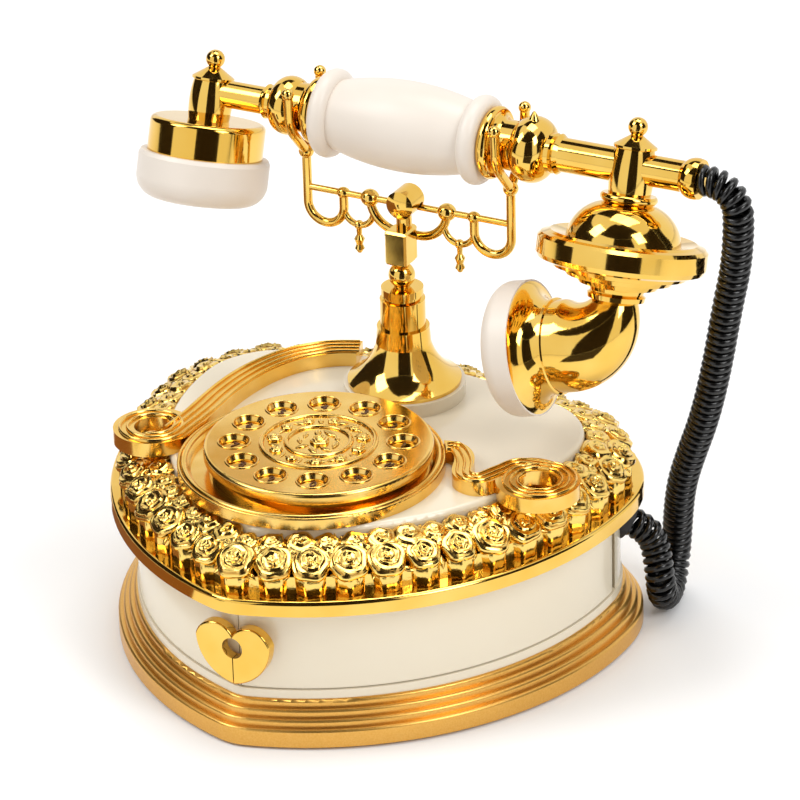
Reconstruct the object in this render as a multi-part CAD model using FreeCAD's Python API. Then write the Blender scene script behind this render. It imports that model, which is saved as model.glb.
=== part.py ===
"""French-style cradle telephone with a shield-shaped jewel-box base.

Millimetres, +Z up. The origin lies on the table under the middle of the body,
the blunt tip of the body points to -Y and the mouthpiece end of the handset to +X.
"""
import FreeCAD, Part
import math
import os

V = FreeCAD.Vector

# Fits
SLIP = 0.05            # radial clearance of a rod or spigot in its hole
SEAT_GAP = 0.4         # handset to saddle, key flange to plate
PANEL_GAP = 0.4        # round the swinging trays

# Body outline: tangent arcs, symmetric about x = 0
LOBE_X = 48.0
LOBE_Y = 37.0
LOBE_R = 46.0
TIP_Y = -69.5
TIP_R = 13.5
INNER_TIP_R = 4.0      # smallest rounding of the tip on inset outlines
SIDE_R = 123.0
BACK_R = 200.0

# Base, from the table upwards
PAD_T = 1.2
PAD_INSET = 4.0
MOULDING_STEPS = ((8.8, 7.2), (6.6, 10.2), (4.4, 13.3), (2.2, 16.3))   # (out from wall, height)
MOULDING_ROUND = 1.3
MOULDING_IN = 14.0     # inner edge of the moulding, inside the wall line
REBATE = 8.0           # ledge that carries the bottom plate
PLATE_T = 2.5
SCREW_R = 1.5
SCREW_HEAD_R = 2.8
SCREW_HEAD_T = 1.5
SCREW_L = 9.0
SILL_OUT = 0.8
SILL_T = 3.5
WALL = 3.0
TRAY_H = 34.7
TRAY_FLOOR = 2.0
TRAY_BACK_Y = 31.0     # back wall of the trays
BULKHEAD_Y = 34.0      # front wall of the rear shell
HINGE_Y = 38.5
HINGE_INSET = 5.2      # hinge axis inside the outer wall face
HINGE_SWING = 60.0     # degrees that each tray opens
ARM_W = 15.0           # width of the tray arm that reaches back to the hinge
PIN_R = 1.5
PIN_DEPTH = 2.5        # pin ends held in the sill and in the rim
RIM_OUT = 9.2
RIM_T = 6.0
RIM_ROUND = 1.6
GARLAND_OUT = 6.4
GARLAND_STEP = 6.0     # outer row is this wide, inside the wall line
GARLAND_LOW = 14.0
GARLAND_HIGH = 17.5
COVER_IN = 13.5
COVER_H = 19.0
COVER_WALL = 2.5
COVER_TOP = 3.0
COVER_ROUND = 2.0
GARLAND_GAP = 0.3      # garland to the cover it surrounds

# Heart-shaped pull, split at x = 0
PULL_W = 31.0
PULL_H = 24.5
PULL_T = 4.2
PULL_STANDOFF = 1.3
PULL_TOP_Z = 48.9
PULL_NOTCH = 4.2       # depth of the notch between the lobes
PULL_BRIDGE = 0.9      # from the notch down to the keyhole
PULL_HOLE_R = 4.2
PULL_ROUND = 0.8
PULL_STEM_R = 2.0
PULL_STEM_X = 5.5
PULL_STEM_DROP = 8.0   # stems below the keyhole

# Dial
DIAL_X = 0.0
DIAL_Y = -18.0
RING_X = -2.6
RING_Y = -19.2
RING_R = 50.5
RING_IN_R = 45.5
RING_H = 5.2
RING_FLOOR_T = 1.4     # floor of the ring, in to the hub
HUB_R = 41.5
HUB_WALL = 2.0
HUB_H = 6.7
LEDGE_H = 1.7
LEDGE_W = 3.4
BOARD_T = 1.6
DISC_R = 43.3
DISC_T = 4.1
DISC_ROUND = 1.4
KEY_RING_R = 31.7
KEY_PHASE = 24.5       # angle of the first key, degrees
KEY_PITCH = 30.0
KEY_R = 4.6
KEY_H = 2.4            # key face above the underside of the disc
KEY_FLANGE = 0.9
KEY_FLANGE_T = 0.8
DISH_R = 6.0
DISH_DEPTH = 1.8
KEY_NAMES = ("1", "2", "3", "4", "5", "6", "7", "8", "9", "0", "star", "hash")
MEDAL_R = 22.5
MEDAL_SINK = 0.7
MEDAL_RIM_R = 1.0
MEDAL_INNER_R = 12.2

# Scrolls on the cover
SCROLL_H = 5.7
LEFT_SCROLL_W = 11.6
RIGHT_SCROLL_W = 7.6
LEFT_VOLUTE = (-68.5, -24.0)
LEFT_VOLUTE_R = 15.3
RIGHT_VOLUTE = (84.0, -3.0)
RIGHT_VOLUTE_R = 15.8
VOLUTE_HOLE_R = 7.2
LEFT_SWEEP = ((-59.0, -24.0), (-58.6, -4.0), (-59.2, 15.0), (-57.4, 33.0), (-51.0, 51.0), (-41.0, 63.0),
              (-29.0, 69.2))
RIGHT_SWEEP = ((36.0, 6.0), (45.0, 8.0), (52.0, 0.0), (57.0, -10.0), (63.0, -11.0), (67.5, -2.0), (72.0, 6.5),
               (84.0, 8.6))

# Post
POST_Y = 51.8
BOSS_R = 23.6
BOSS_H = 5.5
BELL_FOOT_R = 22.1
BELL_LIP = 1.4
BELL_H = 23.5
BELL_COLLAR_R = 10.2
BELL_SWELL = 0.5
BELL_FLARE = 0.46      # share of the foot's spread left at the middle of the flare
BELL_FLARE_UP = 0.27   # height of that middle, as a share of the bell
BELL_WAIST_UP = 0.7    # height of the waist, as a share of the bell
TUBE_R = 8.8
TUBE_BORE_R = 5.6
TUBE_TOP = 37.0        # top of the tube above the bell's foot
TUBE_END_T = 3.5
CAP_R = 8.2
CAP_T = 2.8
ROD_R = 3.0
BEAD_R = 5.2
BEAD_UP = 4.8          # bead centre above the cap
BEAD_TO_BLOCK = 5.4

# Fork
FORK_Y = 58.6
BAR_UP = 21.0          # bar above the underside of the block
BAR_R = 1.3
PRONG_X = 43.7
PRONG_R = 1.8
PRONG_UP = 14.8        # saddle ball above the bar
LOOP_DROP = 6.0        # centre of the J loops below the bar
SMALL_BEAD_X = 28.0
SMALL_BEAD_R = 2.3
BIG_BEAD_X = 16.5
BIG_BEAD_R = 3.5
ARCH_R = 12.0
PENDANT_L = 11.5
SADDLE_BALL_R = 3.0
SADDLE_R = 1.9
SADDLE_TIP_R = 2.4
SADDLE_RUN = 15.0      # straight part of a saddle bar
SADDLE_FLARE = 2.4     # outward turn of its end
SADDLE_RISE = 5.5
SADDLE_TOP = 28.0      # end of a saddle bar above its foot
BLOCK_W = 9.2
BLOCK_D = 8.6
BLOCK_H = 14.0
BLOCK_FRONT_Y = 46.6
MEDALLION_R = 5.6
MEDALLION_FRONT_Y = 51.2
MEDALLION_UP = 2.5     # medallion axis above the bar
TENON_L = 4.0

# Handset: long axis along X above the fork, rolled so that both cups swing forward
HANDSET_Z = 190.5
HANDSET_ROLL = 18.0    # degrees
GRIP_HALF = 35.3
FLANGE_R = 17.2
FLANGE_T = 7.4
GRIP_END_R = 13.6
GRIP_MID_R = 17.4
TIE_R = 3.0
TIE_HALF = 46.0
NECK_R = 9.6
NECK_X = 42.5
EAR_X = -84.5
MOUTH_X = 94.3
EAR_ARM_R = 5.3
EAR_BELL_R = 13.2
EAR_BULB_X = 51.0
EAR_BULB_R = 11.4
EAR_BULB_HALF = 5.5
EAR_COLLAR_R = 6.6
EAR_LIP = -5.6         # lower edge of the finial's cone, below the long axis
MOUTH_ARM_R = 6.5
MOUTH_BELL_R = 14.0
MOUTH_BULB_X = 54.0
MOUTH_BULB_R = 12.7
MOUTH_BULB_HALF = 6.8
MOUTH_COLLAR_R = 7.6
MOUTH_LIP = -8.2
KNOB_R = 2.4
KNOB_TIP_R = 0.4
KNOB_H = 3.2
KNOB_SINK = 0.5
SOCKET_R = 8.4
FINIAL_R = 3.7
FINIAL_SINK = 0.8
FINIAL_CONE = 4.0
HOLE_R = 1.1           # sound holes
EAR_HOLE_RING = 7.0
MOUTH_HOLE_RING = 6.0
DRUM_TOP = 11.0
DRUM_R = 22.5
DRUM_END = 28.0
DRUM_WALL = 1.6
CUP_R = 25.6
CUP_TOP = 24.6
CUP_END = 43.0
CUP_ROUND = 8.5
CUP_FACE = 5.0
CUP_WALL = 5.5
DOME_TOP = 10.0
DOME_R = 21.6
DOME_END = 27.0
FLANGE_DISC_R = 32.0
BODY_END = 49.5
# Outline of the banded disc and its taper: shares of the disc's radius and of its depth
DISC_STEPS = ((0.86, -0.05), (0.906, -0.018), (0.9625, 0.009), (1.0, 0.07), (1.0, 0.34), (0.97, 0.42),
              (0.90, 0.46), (0.82, 0.47), (0.78, 0.55), (0.66, 0.58), (0.62, 0.66), (0.50, 0.69),
               (0.46, 0.77),
              (0.33, 0.81), (0.31, 0.885), (0.345, 0.92), (0.335, 1.0))
HORN_R = 8.3
HORN_THROAT_R = 17.5
HORN_BEND_R = 21.4
HORN_TURN = 76.5       # degrees
HORN_RUN = 14.0
HORN_LIP_R = 25.0
HORN_WALL = 1.6
HORN_RIDGE = 0.8
MOUTH_RING_R = 25.7
MOUTH_RING_L = 12.5
MOUTH_FACE_T = 3.5
MOUTH_RING_WALL = 3.5
MIC_R = 10.0
MIC_L = 4.0
SLEEVE_R = 5.9
SLEEVE_END_X = 122.0
COLLAR_R = 7.8
COLLAR_L = 5.5

# Curly cord: outer diameter of the coil, and its route
CORD_D = 12.0
CORD_EXIT_R = 12.0     # rounding of the drop from the handset
CORD_FOLD_R = 13.7     # fold on the table
CORD_FOLD = (102.0, 73.8, 20.0)
CORD_FOLD_YAW = -78.0  # direction of the fold across the table
CORD_FOLD_START = 164.0
CORD_FOLD_TURN = 212.0
CORD_DROP = ((134.4, 63.2, 157.0), (129.8, 65.4, 138.0), (123.8, 68.8, 108.0), (117.0, 73.0, 84.0),
             (110.2, 76.4, 66.8), (104.2, 79.6, 49.0))
GLAND_ANGLE = 27.0     # degrees round the right-hand lobe
GLAND_TILT = 30.0      # degrees downwards
GLAND_Z = 44.0
GLAND_R = 6.4
GLAND_FLANGE = 1.4
GLAND_OUT = 4.2        # length of the gland outside the wall

# Inner pieces
JACK_W = 16.0
JACK_L = 17.0
JACK_H = 13.0
JACK_UP = 6.0
JACK_RECESS = 0.8
JACK_SOCKET_W = 9.6
JACK_SOCKET_H = 7.6
JACK_SOCKET_L = 12.0
BOARD_X = 8.0          # main board centre
BOARD_Y = 60.0
BOARD_W = 84.0
BOARD_D = 20.0
RINGER_X = -56.0
RINGER_Y = 62.0
RINGER_R = 13.0
RINGER_H = 9.0
SWITCH_W = 20.0
SWITCH_D = 9.0
SWITCH_H = 6.2
SWITCH_BUTTON_R = 1.6
SWITCH_BUTTON_H = 1.5

# Heights that follow
Z_MOULDING = PAD_T
Z_SILL = Z_MOULDING + MOULDING_STEPS[-1][1]
Z_FLOOR = Z_SILL + SILL_T
Z_TRAY = Z_FLOOR + PANEL_GAP
Z_RIM = Z_TRAY + TRAY_H + PANEL_GAP
Z_DECK = Z_RIM + RIM_T
Z_TOP = Z_DECK + COVER_H
Z_BOSS = Z_TOP + BOSS_H
Z_HUB = Z_TOP + HUB_H
Z_DISC = Z_HUB + DISC_T
Z_CAP = Z_BOSS + TUBE_TOP
Z_BEAD = Z_CAP + CAP_T + BEAD_UP
Z_BLOCK = Z_BEAD + BEAD_TO_BLOCK
Z_BAR = Z_BLOCK + BAR_UP
Z_SWITCH_TOP = Z_DECK + SWITCH_H + SWITCH_BUTTON_H
FAR = 400.0            # half size of cutting boxes, past every face


def tangent_centre(near, near_r, far, far_r, big_r):
    """Centre of the arc of radius big_r that holds both circles inside it, left of them."""
    a = big_r - near_r
    b = big_r - far_r
    span = far.sub(near)
    d = span.Length
    along = (a * a - b * b + d * d) / (2 * d)
    off = math.sqrt(a * a - along * along)
    unit = V(span).multiply(1 / d)
    foot = near.add(V(unit).multiply(along))
    side = V(-unit.y, unit.x, 0).multiply(off)
    one = foot.add(side)
    two = foot.sub(side)
    return one if one.x < two.x else two


LOBE = V(LOBE_X, LOBE_Y, 0)
TIP = V(0, TIP_Y, 0)
SIDE = tangent_centre(LOBE, LOBE_R, TIP, TIP_R, SIDE_R)
BACK = V(0, LOBE_Y - math.sqrt((BACK_R - LOBE_R) ** 2 - LOBE_X ** 2), 0)


def polar(centre, r, angle, z=0.0):
    return V(centre.x + r * math.cos(angle), centre.y + r * math.sin(angle), z)


def bearing(start, end):
    return math.atan2(end.y - start.y, end.x - start.x)


def shield_wire(out, z):
    """Body outline moved out from the wall line by the given distance, at height z."""
    tip_r = max(TIP_R + out, INNER_TIP_R)
    tip = V(0, SIDE.y - math.sqrt((SIDE_R + out - tip_r) ** 2 - SIDE.x ** 2), 0)
    a_tip = bearing(SIDE, tip)
    a_lobe = bearing(SIDE, LOBE)
    a_back = bearing(BACK, LOBE)
    right = [(tip, tip_r, -math.pi / 2, a_tip), (SIDE, SIDE_R + out, a_tip, a_lobe),
             (LOBE, LOBE_R + out, a_lobe, a_back)]
    edges = []
    for centre, r, a0, a1 in right:
        points = [polar(centre, r, a, z) for a in (a0, (a0 + a1) / 2, a1)]
        edges.append(Part.Arc(*points).toShape())
    back = [polar(BACK, BACK_R + out, a, z) for a in (a_back, math.pi / 2, math.pi - a_back)]
    edges.append(Part.Arc(*back).toShape())
    for centre, r, a0, a1 in reversed(right):
        points = [polar(centre, r, a, z) for a in (a1, (a0 + a1) / 2, a0)]
        edges.append(Part.Arc(*[V(-p.x, p.y, p.z) for p in points]).toShape())
    return Part.Wire(edges)


def shield(out, z0, z1):
    return Part.Face(shield_wire(out, z0)).extrude(V(0, 0, z1 - z0))


def box(x0, x1, y0, y1, z0, z1):
    return Part.makeBox(x1 - x0, y1 - y0, z1 - z0, V(x0, y0, z0))


def cylinder(r, x, y, z0, z1):
    return Part.makeCylinder(r, z1 - z0, V(x, y, z0))


def fuse(shapes):
    whole = shapes[0].fuse(list(shapes[1:])) if len(shapes) > 1 else shapes[0]
    return whole.removeSplitter()


def round_edges_at(shape, z, r):
    """Fillet every edge that lies flat at height z."""
    flat = [e for e in shape.Edges if max(abs(e.BoundBox.ZMin - z), abs(e.BoundBox.ZMax - z)) < 1e-6]
    return shape.makeFillet(r, flat)


def oriented(shape, origin, z_dir, x_dir):
    """Move a shape built about the Z axis so that its axis runs along z_dir from origin."""
    shape = shape.copy()
    shape.Placement = FreeCAD.Placement(origin, FreeCAD.Rotation(x_dir, V(0, 0, 0), z_dir, "ZXY"))
    return shape


def turned(profile):
    """Turn a closed (radius, height) outline about Z; a 4-number entry is an arc through two points."""
    first = V(profile[0][0], 0, profile[0][1])
    here = first
    edges = []
    for entry in list(profile[1:]) + [profile[0]]:
        end = V(entry[-2], 0, entry[-1])
        if end.isEqual(here, 1e-9):
            continue
        if len(entry) == 4:
            edges.append(Part.Arc(here, V(entry[0], 0, entry[1]), end).toShape())
        else:
            edges.append(Part.LineSegment(here, end).toShape())
        here = end
    return Part.Face(Part.Wire(edges)).revolve(V(0, 0, 0), V(0, 0, 1), 360)


def tube(points, r, share=0.45, report=None):
    """Round bar along straight runs joined by tangent arcs as large as the runs allow."""
    points = [V(p) for p in points]
    here = points[0]
    edges = []
    radii = []
    length = 0.0
    for before, corner, after in zip(points, points[1:], points[2:]):
        back = before.sub(corner)
        ahead = after.sub(corner)
        half = (math.pi - back.getAngle(ahead)) / 2
        reach = share * min(back.Length, ahead.Length)
        bend = reach / math.tan(half)
        radii.append(bend)
        back.normalize()
        ahead.normalize()
        start = corner.add(V(back).multiply(reach))
        end = corner.add(V(ahead).multiply(reach))
        inward = back.add(ahead)
        inward.normalize()
        middle = corner.add(inward.multiply(bend / math.cos(half) - bend))
        edges.append(Part.LineSegment(here, start).toShape())
        edges.append(Part.Arc(start, middle, end).toShape())
        length += here.distanceToPoint(start) + 2 * half * bend
        here = end
    edges.append(Part.LineSegment(here, points[-1]).toShape())
    length += here.distanceToPoint(points[-1])
    path = Part.Wire(edges)
    section = Part.Wire(Part.makeCircle(r, points[0], points[1].sub(points[0])))
    solid = path.makePipeShell([section], True, False)
    if report:
        print(report, "radii", " ".join("%.1f" % x for x in radii))
        ratio = solid.Volume / (math.pi * r * r * length)
        print(report, "length %.1f" % length, "volume ratio %.4f" % ratio)
    return solid


def band(points, width, z0, z1):
    """Flat ribbon of even width that follows a smooth line through the points."""
    line = Part.BSplineCurve()
    line.interpolate([V(x, y, z0) for x, y in points])
    count = 4 * len(points)
    sides = ([], [])
    for i in range(count + 1):
        t = line.FirstParameter + (line.LastParameter - line.FirstParameter) * i / count
        at = line.value(t)
        way = line.tangent(t)[0]
        normal = V(-way.y, way.x, 0).multiply(width / 2)
        sides[0].append(at.add(normal))
        sides[1].append(at.sub(normal))
    edges = []
    for side in sides:
        edge = Part.BSplineCurve()
        edge.interpolate(side)
        edges.append(edge.toShape())
    start = Part.LineSegment(sides[0][0], sides[1][0]).toShape()
    end = Part.LineSegment(sides[0][-1], sides[1][-1]).toShape()
    return Part.Face(Part.Wire([edges[0], end, edges[1], start])).extrude(V(0, 0, z1 - z0))


def mirrored(shape):
    return shape.mirror(V(0, 0, 0), V(1, 0, 0))


HINGE_X = LOBE_X + math.sqrt(LOBE_R ** 2 - (HINGE_Y - LOBE_Y) ** 2) - HINGE_INSET
KNUCKLE_R = HINGE_INSET
SWEEP_R = HINGE_INSET / math.cos(math.radians(HINGE_SWING / 2)) + PANEL_GAP
TIP_WALL_Y = TIP_Y - TIP_R
KEYHOLE_Z = PULL_TOP_Z - PULL_NOTCH - PULL_BRIDGE - PULL_HOLE_R


def felt_pad():
    return shield(MOULDING_STEPS[0][0] - PAD_INSET, 0, PAD_T)


def base_moulding():
    steps = []
    for out, height in MOULDING_STEPS:
        top = Z_MOULDING + height
        steps.append(round_edges_at(shield(out, Z_MOULDING, top), top, MOULDING_ROUND))
    ring = fuse(steps).cut(shield(-MOULDING_IN, Z_MOULDING, Z_SILL))
    ring = ring.cut(shield(REBATE - MOULDING_IN, Z_MOULDING, Z_MOULDING + PLATE_T))
    for x, y in screw_places():
        ring = ring.cut(cylinder(SCREW_R + SLIP, x, y, Z_MOULDING, Z_MOULDING + SCREW_L + SLIP))
    return ring


def screw_places():
    """One screw near the tip, two at the lobes and one at the back, in the middle of the ledge."""
    middle = -MOULDING_IN + REBATE / 2
    tip = (0.0, TIP_Y - TIP_R - middle)
    back = (0.0, BACK.y + BACK_R + middle)
    side = LOBE_X + LOBE_R + middle
    return (tip, (side, LOBE_Y), (-side, LOBE_Y), back)


def bottom_plate():
    plate = shield(REBATE - MOULDING_IN - SLIP, Z_MOULDING, Z_MOULDING + PLATE_T)
    for x, y in screw_places():
        plate = plate.cut(cylinder(SCREW_R + SLIP, x, y, Z_MOULDING, Z_MOULDING + PLATE_T))
        plate = plate.cut(cylinder(SCREW_HEAD_R + SLIP, x, y, Z_MOULDING, Z_MOULDING + SCREW_HEAD_T))
    return plate


def bottom_screws():
    screws = []
    for x, y in screw_places():
        head = cylinder(SCREW_HEAD_R, x, y, Z_MOULDING, Z_MOULDING + SCREW_HEAD_T)
        shank = cylinder(SCREW_R, x, y, Z_MOULDING, Z_MOULDING + SCREW_L)
        screws.append(fuse([head, shank]))
    return Part.makeCompound(screws)


def hinge_holes(z0, z1):
    return [cylinder(PIN_R + SLIP, side * HINGE_X, HINGE_Y, z0, z1) for side in (1, -1)]


def sill_plate():
    plate = shield(SILL_OUT, Z_SILL, Z_FLOOR)
    for hole in hinge_holes(Z_FLOOR - PIN_DEPTH, Z_FLOOR):
        plate = plate.cut(hole)
    return plate


def hinge_pins():
    z0 = Z_FLOOR - PIN_DEPTH
    z1 = Z_RIM + PIN_DEPTH
    return Part.makeCompound([cylinder(PIN_R, side * HINGE_X, HINGE_Y, z0, z1) for side in (1, -1)])


def right_tray():
    inner_x = PANEL_GAP / 2
    arm_x = HINGE_X - ARM_W
    z1 = Z_TRAY + TRAY_H
    region = box(inner_x, FAR, -FAR, TRAY_BACK_Y, Z_TRAY, z1)
    region = region.fuse(box(arm_x, FAR, TRAY_BACK_Y, HINGE_Y, Z_TRAY, z1))
    region = region.fuse(cylinder(KNUCKLE_R, HINGE_X, HINGE_Y, Z_TRAY, z1))
    outer = shield(0, Z_TRAY, z1).common(region)
    room = box(inner_x + WALL, FAR, -FAR, TRAY_BACK_Y - WALL, Z_TRAY + TRAY_FLOOR, z1)
    tray = outer.cut(shield(-WALL, Z_TRAY + TRAY_FLOOR, z1).common(room))
    tray = tray.cut(cylinder(PIN_R + SLIP, HINGE_X, HINGE_Y, Z_TRAY, z1))
    return tray.cut(pull_stem(SLIP)).removeSplitter()


def pull_stem(extra):
    """Stem of the right-hand pull half, from the plate back through the tray wall."""
    y0 = TIP_WALL_Y - PULL_STANDOFF
    depth = PULL_STANDOFF + TIP_R + WALL
    at = V(PULL_STEM_X, y0, KEYHOLE_Z - PULL_STEM_DROP)
    stem = Part.makeCylinder(PULL_STEM_R + extra, depth, at, V(0, 1, 0))
    return stem.cut(shield(-WALL, Z_TRAY, Z_TRAY + TRAY_H))


def right_pull():
    """Right half of a heart plate with a round keyhole on the split line."""
    half_w = PULL_W / 2
    notch_z = PULL_TOP_Z - PULL_NOTCH
    foot_z = PULL_TOP_Z - PULL_H
    y0 = TIP_WALL_Y - PULL_STANDOFF
    front = y0 - PULL_T
    notch = V(0, y0, notch_z)
    shoulder = V(half_w, y0, notch_z - PULL_NOTCH / 2)
    belly = V(half_w * 0.8, y0, foot_z + (notch_z - foot_z) * 0.4)
    foot = V(0, y0, foot_z)
    edges = [Part.Arc(notch, V(half_w * 0.55, y0, PULL_TOP_Z), shoulder).toShape(),
             Part.Arc(shoulder, belly, foot).toShape(), Part.LineSegment(foot, notch).toShape()]
    plate = Part.Face(Part.Wire(edges)).extrude(V(0, -PULL_T, 0))
    rim = [e for e in plate.Edges if e.BoundBox.YMax < front + 1e-6 and e.BoundBox.XMax > 1e-6]
    plate = plate.makeFillet(PULL_ROUND, rim)
    plate = plate.cut(Part.makeCylinder(PULL_HOLE_R, PULL_T, V(0, y0, KEYHOLE_Z), V(0, -1, 0)))
    plate = plate.common(box(PANEL_GAP / 2, FAR, -FAR, FAR, 0, FAR))
    return fuse([plate, pull_stem(0)])


def rear_shell():
    arm_x = HINGE_X - ARM_W - PANEL_GAP
    split_y = HINGE_Y + PANEL_GAP
    region = box(-arm_x, arm_x, BULKHEAD_Y, FAR, Z_FLOOR, Z_RIM)
    region = region.fuse(box(-FAR, FAR, split_y, FAR, Z_FLOOR, Z_RIM))
    room = box(WALL - arm_x, arm_x - WALL, BULKHEAD_Y + WALL, FAR, Z_FLOOR, Z_RIM)
    room = room.fuse(box(-FAR, FAR, split_y + WALL, FAR, Z_FLOOR, Z_RIM))
    shell = shield(0, Z_FLOOR, Z_RIM).common(region)
    keep = [cylinder(SWEEP_R + WALL, side * HINGE_X, HINGE_Y, Z_FLOOR, Z_RIM) for side in (1, -1)]
    shell = shell.cut(shield(-WALL, Z_FLOOR, Z_RIM).common(room).cut(Part.makeCompound(keep)))
    for side in (1, -1):
        shell = shell.cut(cylinder(SWEEP_R, side * HINGE_X, HINGE_Y, Z_FLOOR, Z_RIM))
    shell = shell.cut(gland_body(GLAND_R + SLIP))
    shell = shell.cut(jack_block(SLIP, WALL))
    return shell.removeSplitter()


def rim_plate():
    plate = shield(RIM_OUT, Z_RIM, Z_DECK)
    plate = round_edges_at(plate, Z_DECK, RIM_ROUND)
    for hole in hinge_holes(Z_RIM, Z_RIM + PIN_DEPTH):
        plate = plate.cut(hole)
    return plate


def rose_garland():
    low = shield(GARLAND_OUT, Z_DECK, Z_DECK + GARLAND_LOW)
    high = shield(-GARLAND_STEP, Z_DECK, Z_DECK + GARLAND_HIGH)
    ring = fuse([low, high])
    return ring.cut(shield(GARLAND_GAP - COVER_IN, Z_DECK, Z_DECK + GARLAND_HIGH))


def top_cover():
    cover = round_edges_at(shield(-COVER_IN, Z_DECK, Z_TOP), Z_TOP, COVER_ROUND)
    cover = fuse([cover, cylinder(BOSS_R, 0, POST_Y, Z_TOP - COVER_TOP, Z_BOSS)])
    cover = cover.cut(shield(-COVER_IN - COVER_WALL, Z_DECK, Z_TOP - COVER_TOP))
    cover = cover.cut(cylinder(RING_R + GARLAND_GAP, RING_X, RING_Y, Z_TOP, Z_BOSS))
    return cover.cut(cylinder(TUBE_R + SLIP, 0, POST_Y, Z_DECK, Z_BOSS))


def dial_ring():
    top = RING_H
    mid = (RING_R + RING_IN_R) / 2
    bead = (RING_R - RING_IN_R) / 4
    shift = math.hypot(RING_X - DIAL_X, RING_Y - DIAL_Y)
    inner = HUB_R - shift
    outline = [(inner, 0), (RING_R, 0), (RING_R, top - bead),
               (mid + bead * 1.6, top - bead * 0.4, mid + bead, top - bead),
               (mid, top, mid - bead, top - bead), (RING_IN_R, top - bead * 2), (RING_IN_R, RING_FLOOR_T),
               (inner, RING_FLOOR_T)]
    ring = oriented(turned(outline), V(RING_X, RING_Y, Z_TOP), V(0, 0, 1), V(1, 0, 0))
    return ring.cut(cylinder(HUB_R + SLIP, DIAL_X, DIAL_Y, Z_TOP, Z_HUB))


def dial_base():
    bore = HUB_R - HUB_WALL
    outline = [(bore - LEDGE_W, 0), (HUB_R, 0), (HUB_R, HUB_H), (bore, HUB_H), (bore, LEDGE_H),
               (bore - LEDGE_W, LEDGE_H)]
    return oriented(turned(outline), V(DIAL_X, DIAL_Y, Z_TOP), V(0, 0, 1), V(1, 0, 0))


def keypad_board():
    return cylinder(HUB_R - HUB_WALL - SLIP, DIAL_X, DIAL_Y, Z_TOP + LEDGE_H, Z_TOP + LEDGE_H + BOARD_T)


def key_place(index):
    angle = math.radians(KEY_PHASE + KEY_PITCH * index)
    return DIAL_X + KEY_RING_R * math.cos(angle), DIAL_Y + KEY_RING_R * math.sin(angle)


def dial_plate():
    flat_r = DISC_R - DISC_ROUND
    bulge = DISC_ROUND * 0.3
    outline = [(0, 0), (DISC_R, 0), (DISC_R, DISC_T - DISC_ROUND),
               (DISC_R - bulge, DISC_T - bulge, flat_r, DISC_T), (0, DISC_T)]
    disc = oriented(turned(outline), V(DIAL_X, DIAL_Y, Z_HUB), V(0, 0, 1), V(1, 0, 0))
    disc = disc.cut(cylinder(MEDAL_R + SLIP, DIAL_X, DIAL_Y, Z_DISC - MEDAL_SINK, Z_DISC))
    for i in range(len(KEY_NAMES)):
        x, y = key_place(i)
        disc = disc.cut(cylinder(KEY_R + SEAT_GAP, x, y, Z_HUB, Z_DISC))
        dish = Part.makeCone(KEY_R + SEAT_GAP, DISH_R, DISH_DEPTH, V(x, y, Z_DISC - DISH_DEPTH))
        disc = disc.cut(dish)
    return disc


def key(index):
    x, y = key_place(index)
    under = Z_HUB - SEAT_GAP
    flange = cylinder(KEY_R + KEY_FLANGE, x, y, under - KEY_FLANGE_T, under)
    cap = cylinder(KEY_R, x, y, under, Z_HUB + KEY_H)
    return fuse([flange, cap])


def dial_medallion():
    base = MEDAL_SINK
    rim = MEDAL_R - MEDAL_RIM_R
    inner = MEDAL_INNER_R
    outline = [(0, 0), (MEDAL_R, 0), (MEDAL_R, base), (rim, base + MEDAL_RIM_R, rim - MEDAL_RIM_R, base),
               (inner + MEDAL_RIM_R, base), (inner, base + MEDAL_RIM_R, inner - MEDAL_RIM_R, base),
               (0, base)]
    return oriented(turned(outline), V(DIAL_X, DIAL_Y, Z_DISC - MEDAL_SINK), V(0, 0, 1), V(1, 0, 0))


def volute(place, r):
    x, y = place
    return cylinder(r, x, y, Z_TOP, Z_TOP + SCROLL_H), cylinder(VOLUTE_HOLE_R, x, y, Z_TOP, Z_TOP + SCROLL_H)


def ring_clearance():
    return cylinder(RING_R + SLIP, RING_X, RING_Y, Z_TOP, Z_TOP + SCROLL_H)


def left_scroll():
    disc, hole = volute(LEFT_VOLUTE, LEFT_VOLUTE_R)
    ribbon = band(LEFT_SWEEP, LEFT_SCROLL_W, Z_TOP, Z_TOP + SCROLL_H)
    return fuse([disc, ribbon]).cut(hole).cut(ring_clearance())


def right_scroll():
    disc, hole = volute(RIGHT_VOLUTE, RIGHT_VOLUTE_R)
    ribbon = band(RIGHT_SWEEP, RIGHT_SCROLL_W, Z_TOP, Z_TOP + SCROLL_H)
    return fuse([disc, ribbon]).cut(hole).cut(ring_clearance())


def post_bell():
    bore = TUBE_R + SLIP
    waist = BELL_COLLAR_R + BELL_SWELL
    outline = [(bore, 0), (BELL_FOOT_R, 0), (BELL_FOOT_R, BELL_LIP),
               (waist + (BELL_FOOT_R - waist) * BELL_FLARE, BELL_H * BELL_FLARE_UP,
                waist, BELL_H * BELL_WAIST_UP),
               (BELL_COLLAR_R, BELL_H), (bore, BELL_H)]
    return oriented(turned(outline), V(0, POST_Y, Z_BOSS), V(0, 0, 1), V(1, 0, 0))


def post_tube():
    z0 = Z_TOP - COVER_TOP
    neck = CAP_R - 0.8
    top = Z_CAP - z0
    hole = ROD_R + SLIP
    outline = [(hole, 0), (TUBE_R, 0), (TUBE_R, top - 2), (neck, top - 1.4), (neck, top), (CAP_R, top),
               (CAP_R, top + CAP_T), (hole, top + CAP_T), (hole, top - TUBE_END_T),
               (TUBE_BORE_R, top - TUBE_END_T), (TUBE_BORE_R, TUBE_END_T), (hole, TUBE_END_T)]
    return oriented(turned(outline), V(0, POST_Y, z0), V(0, 0, 1), V(1, 0, 0))


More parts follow.
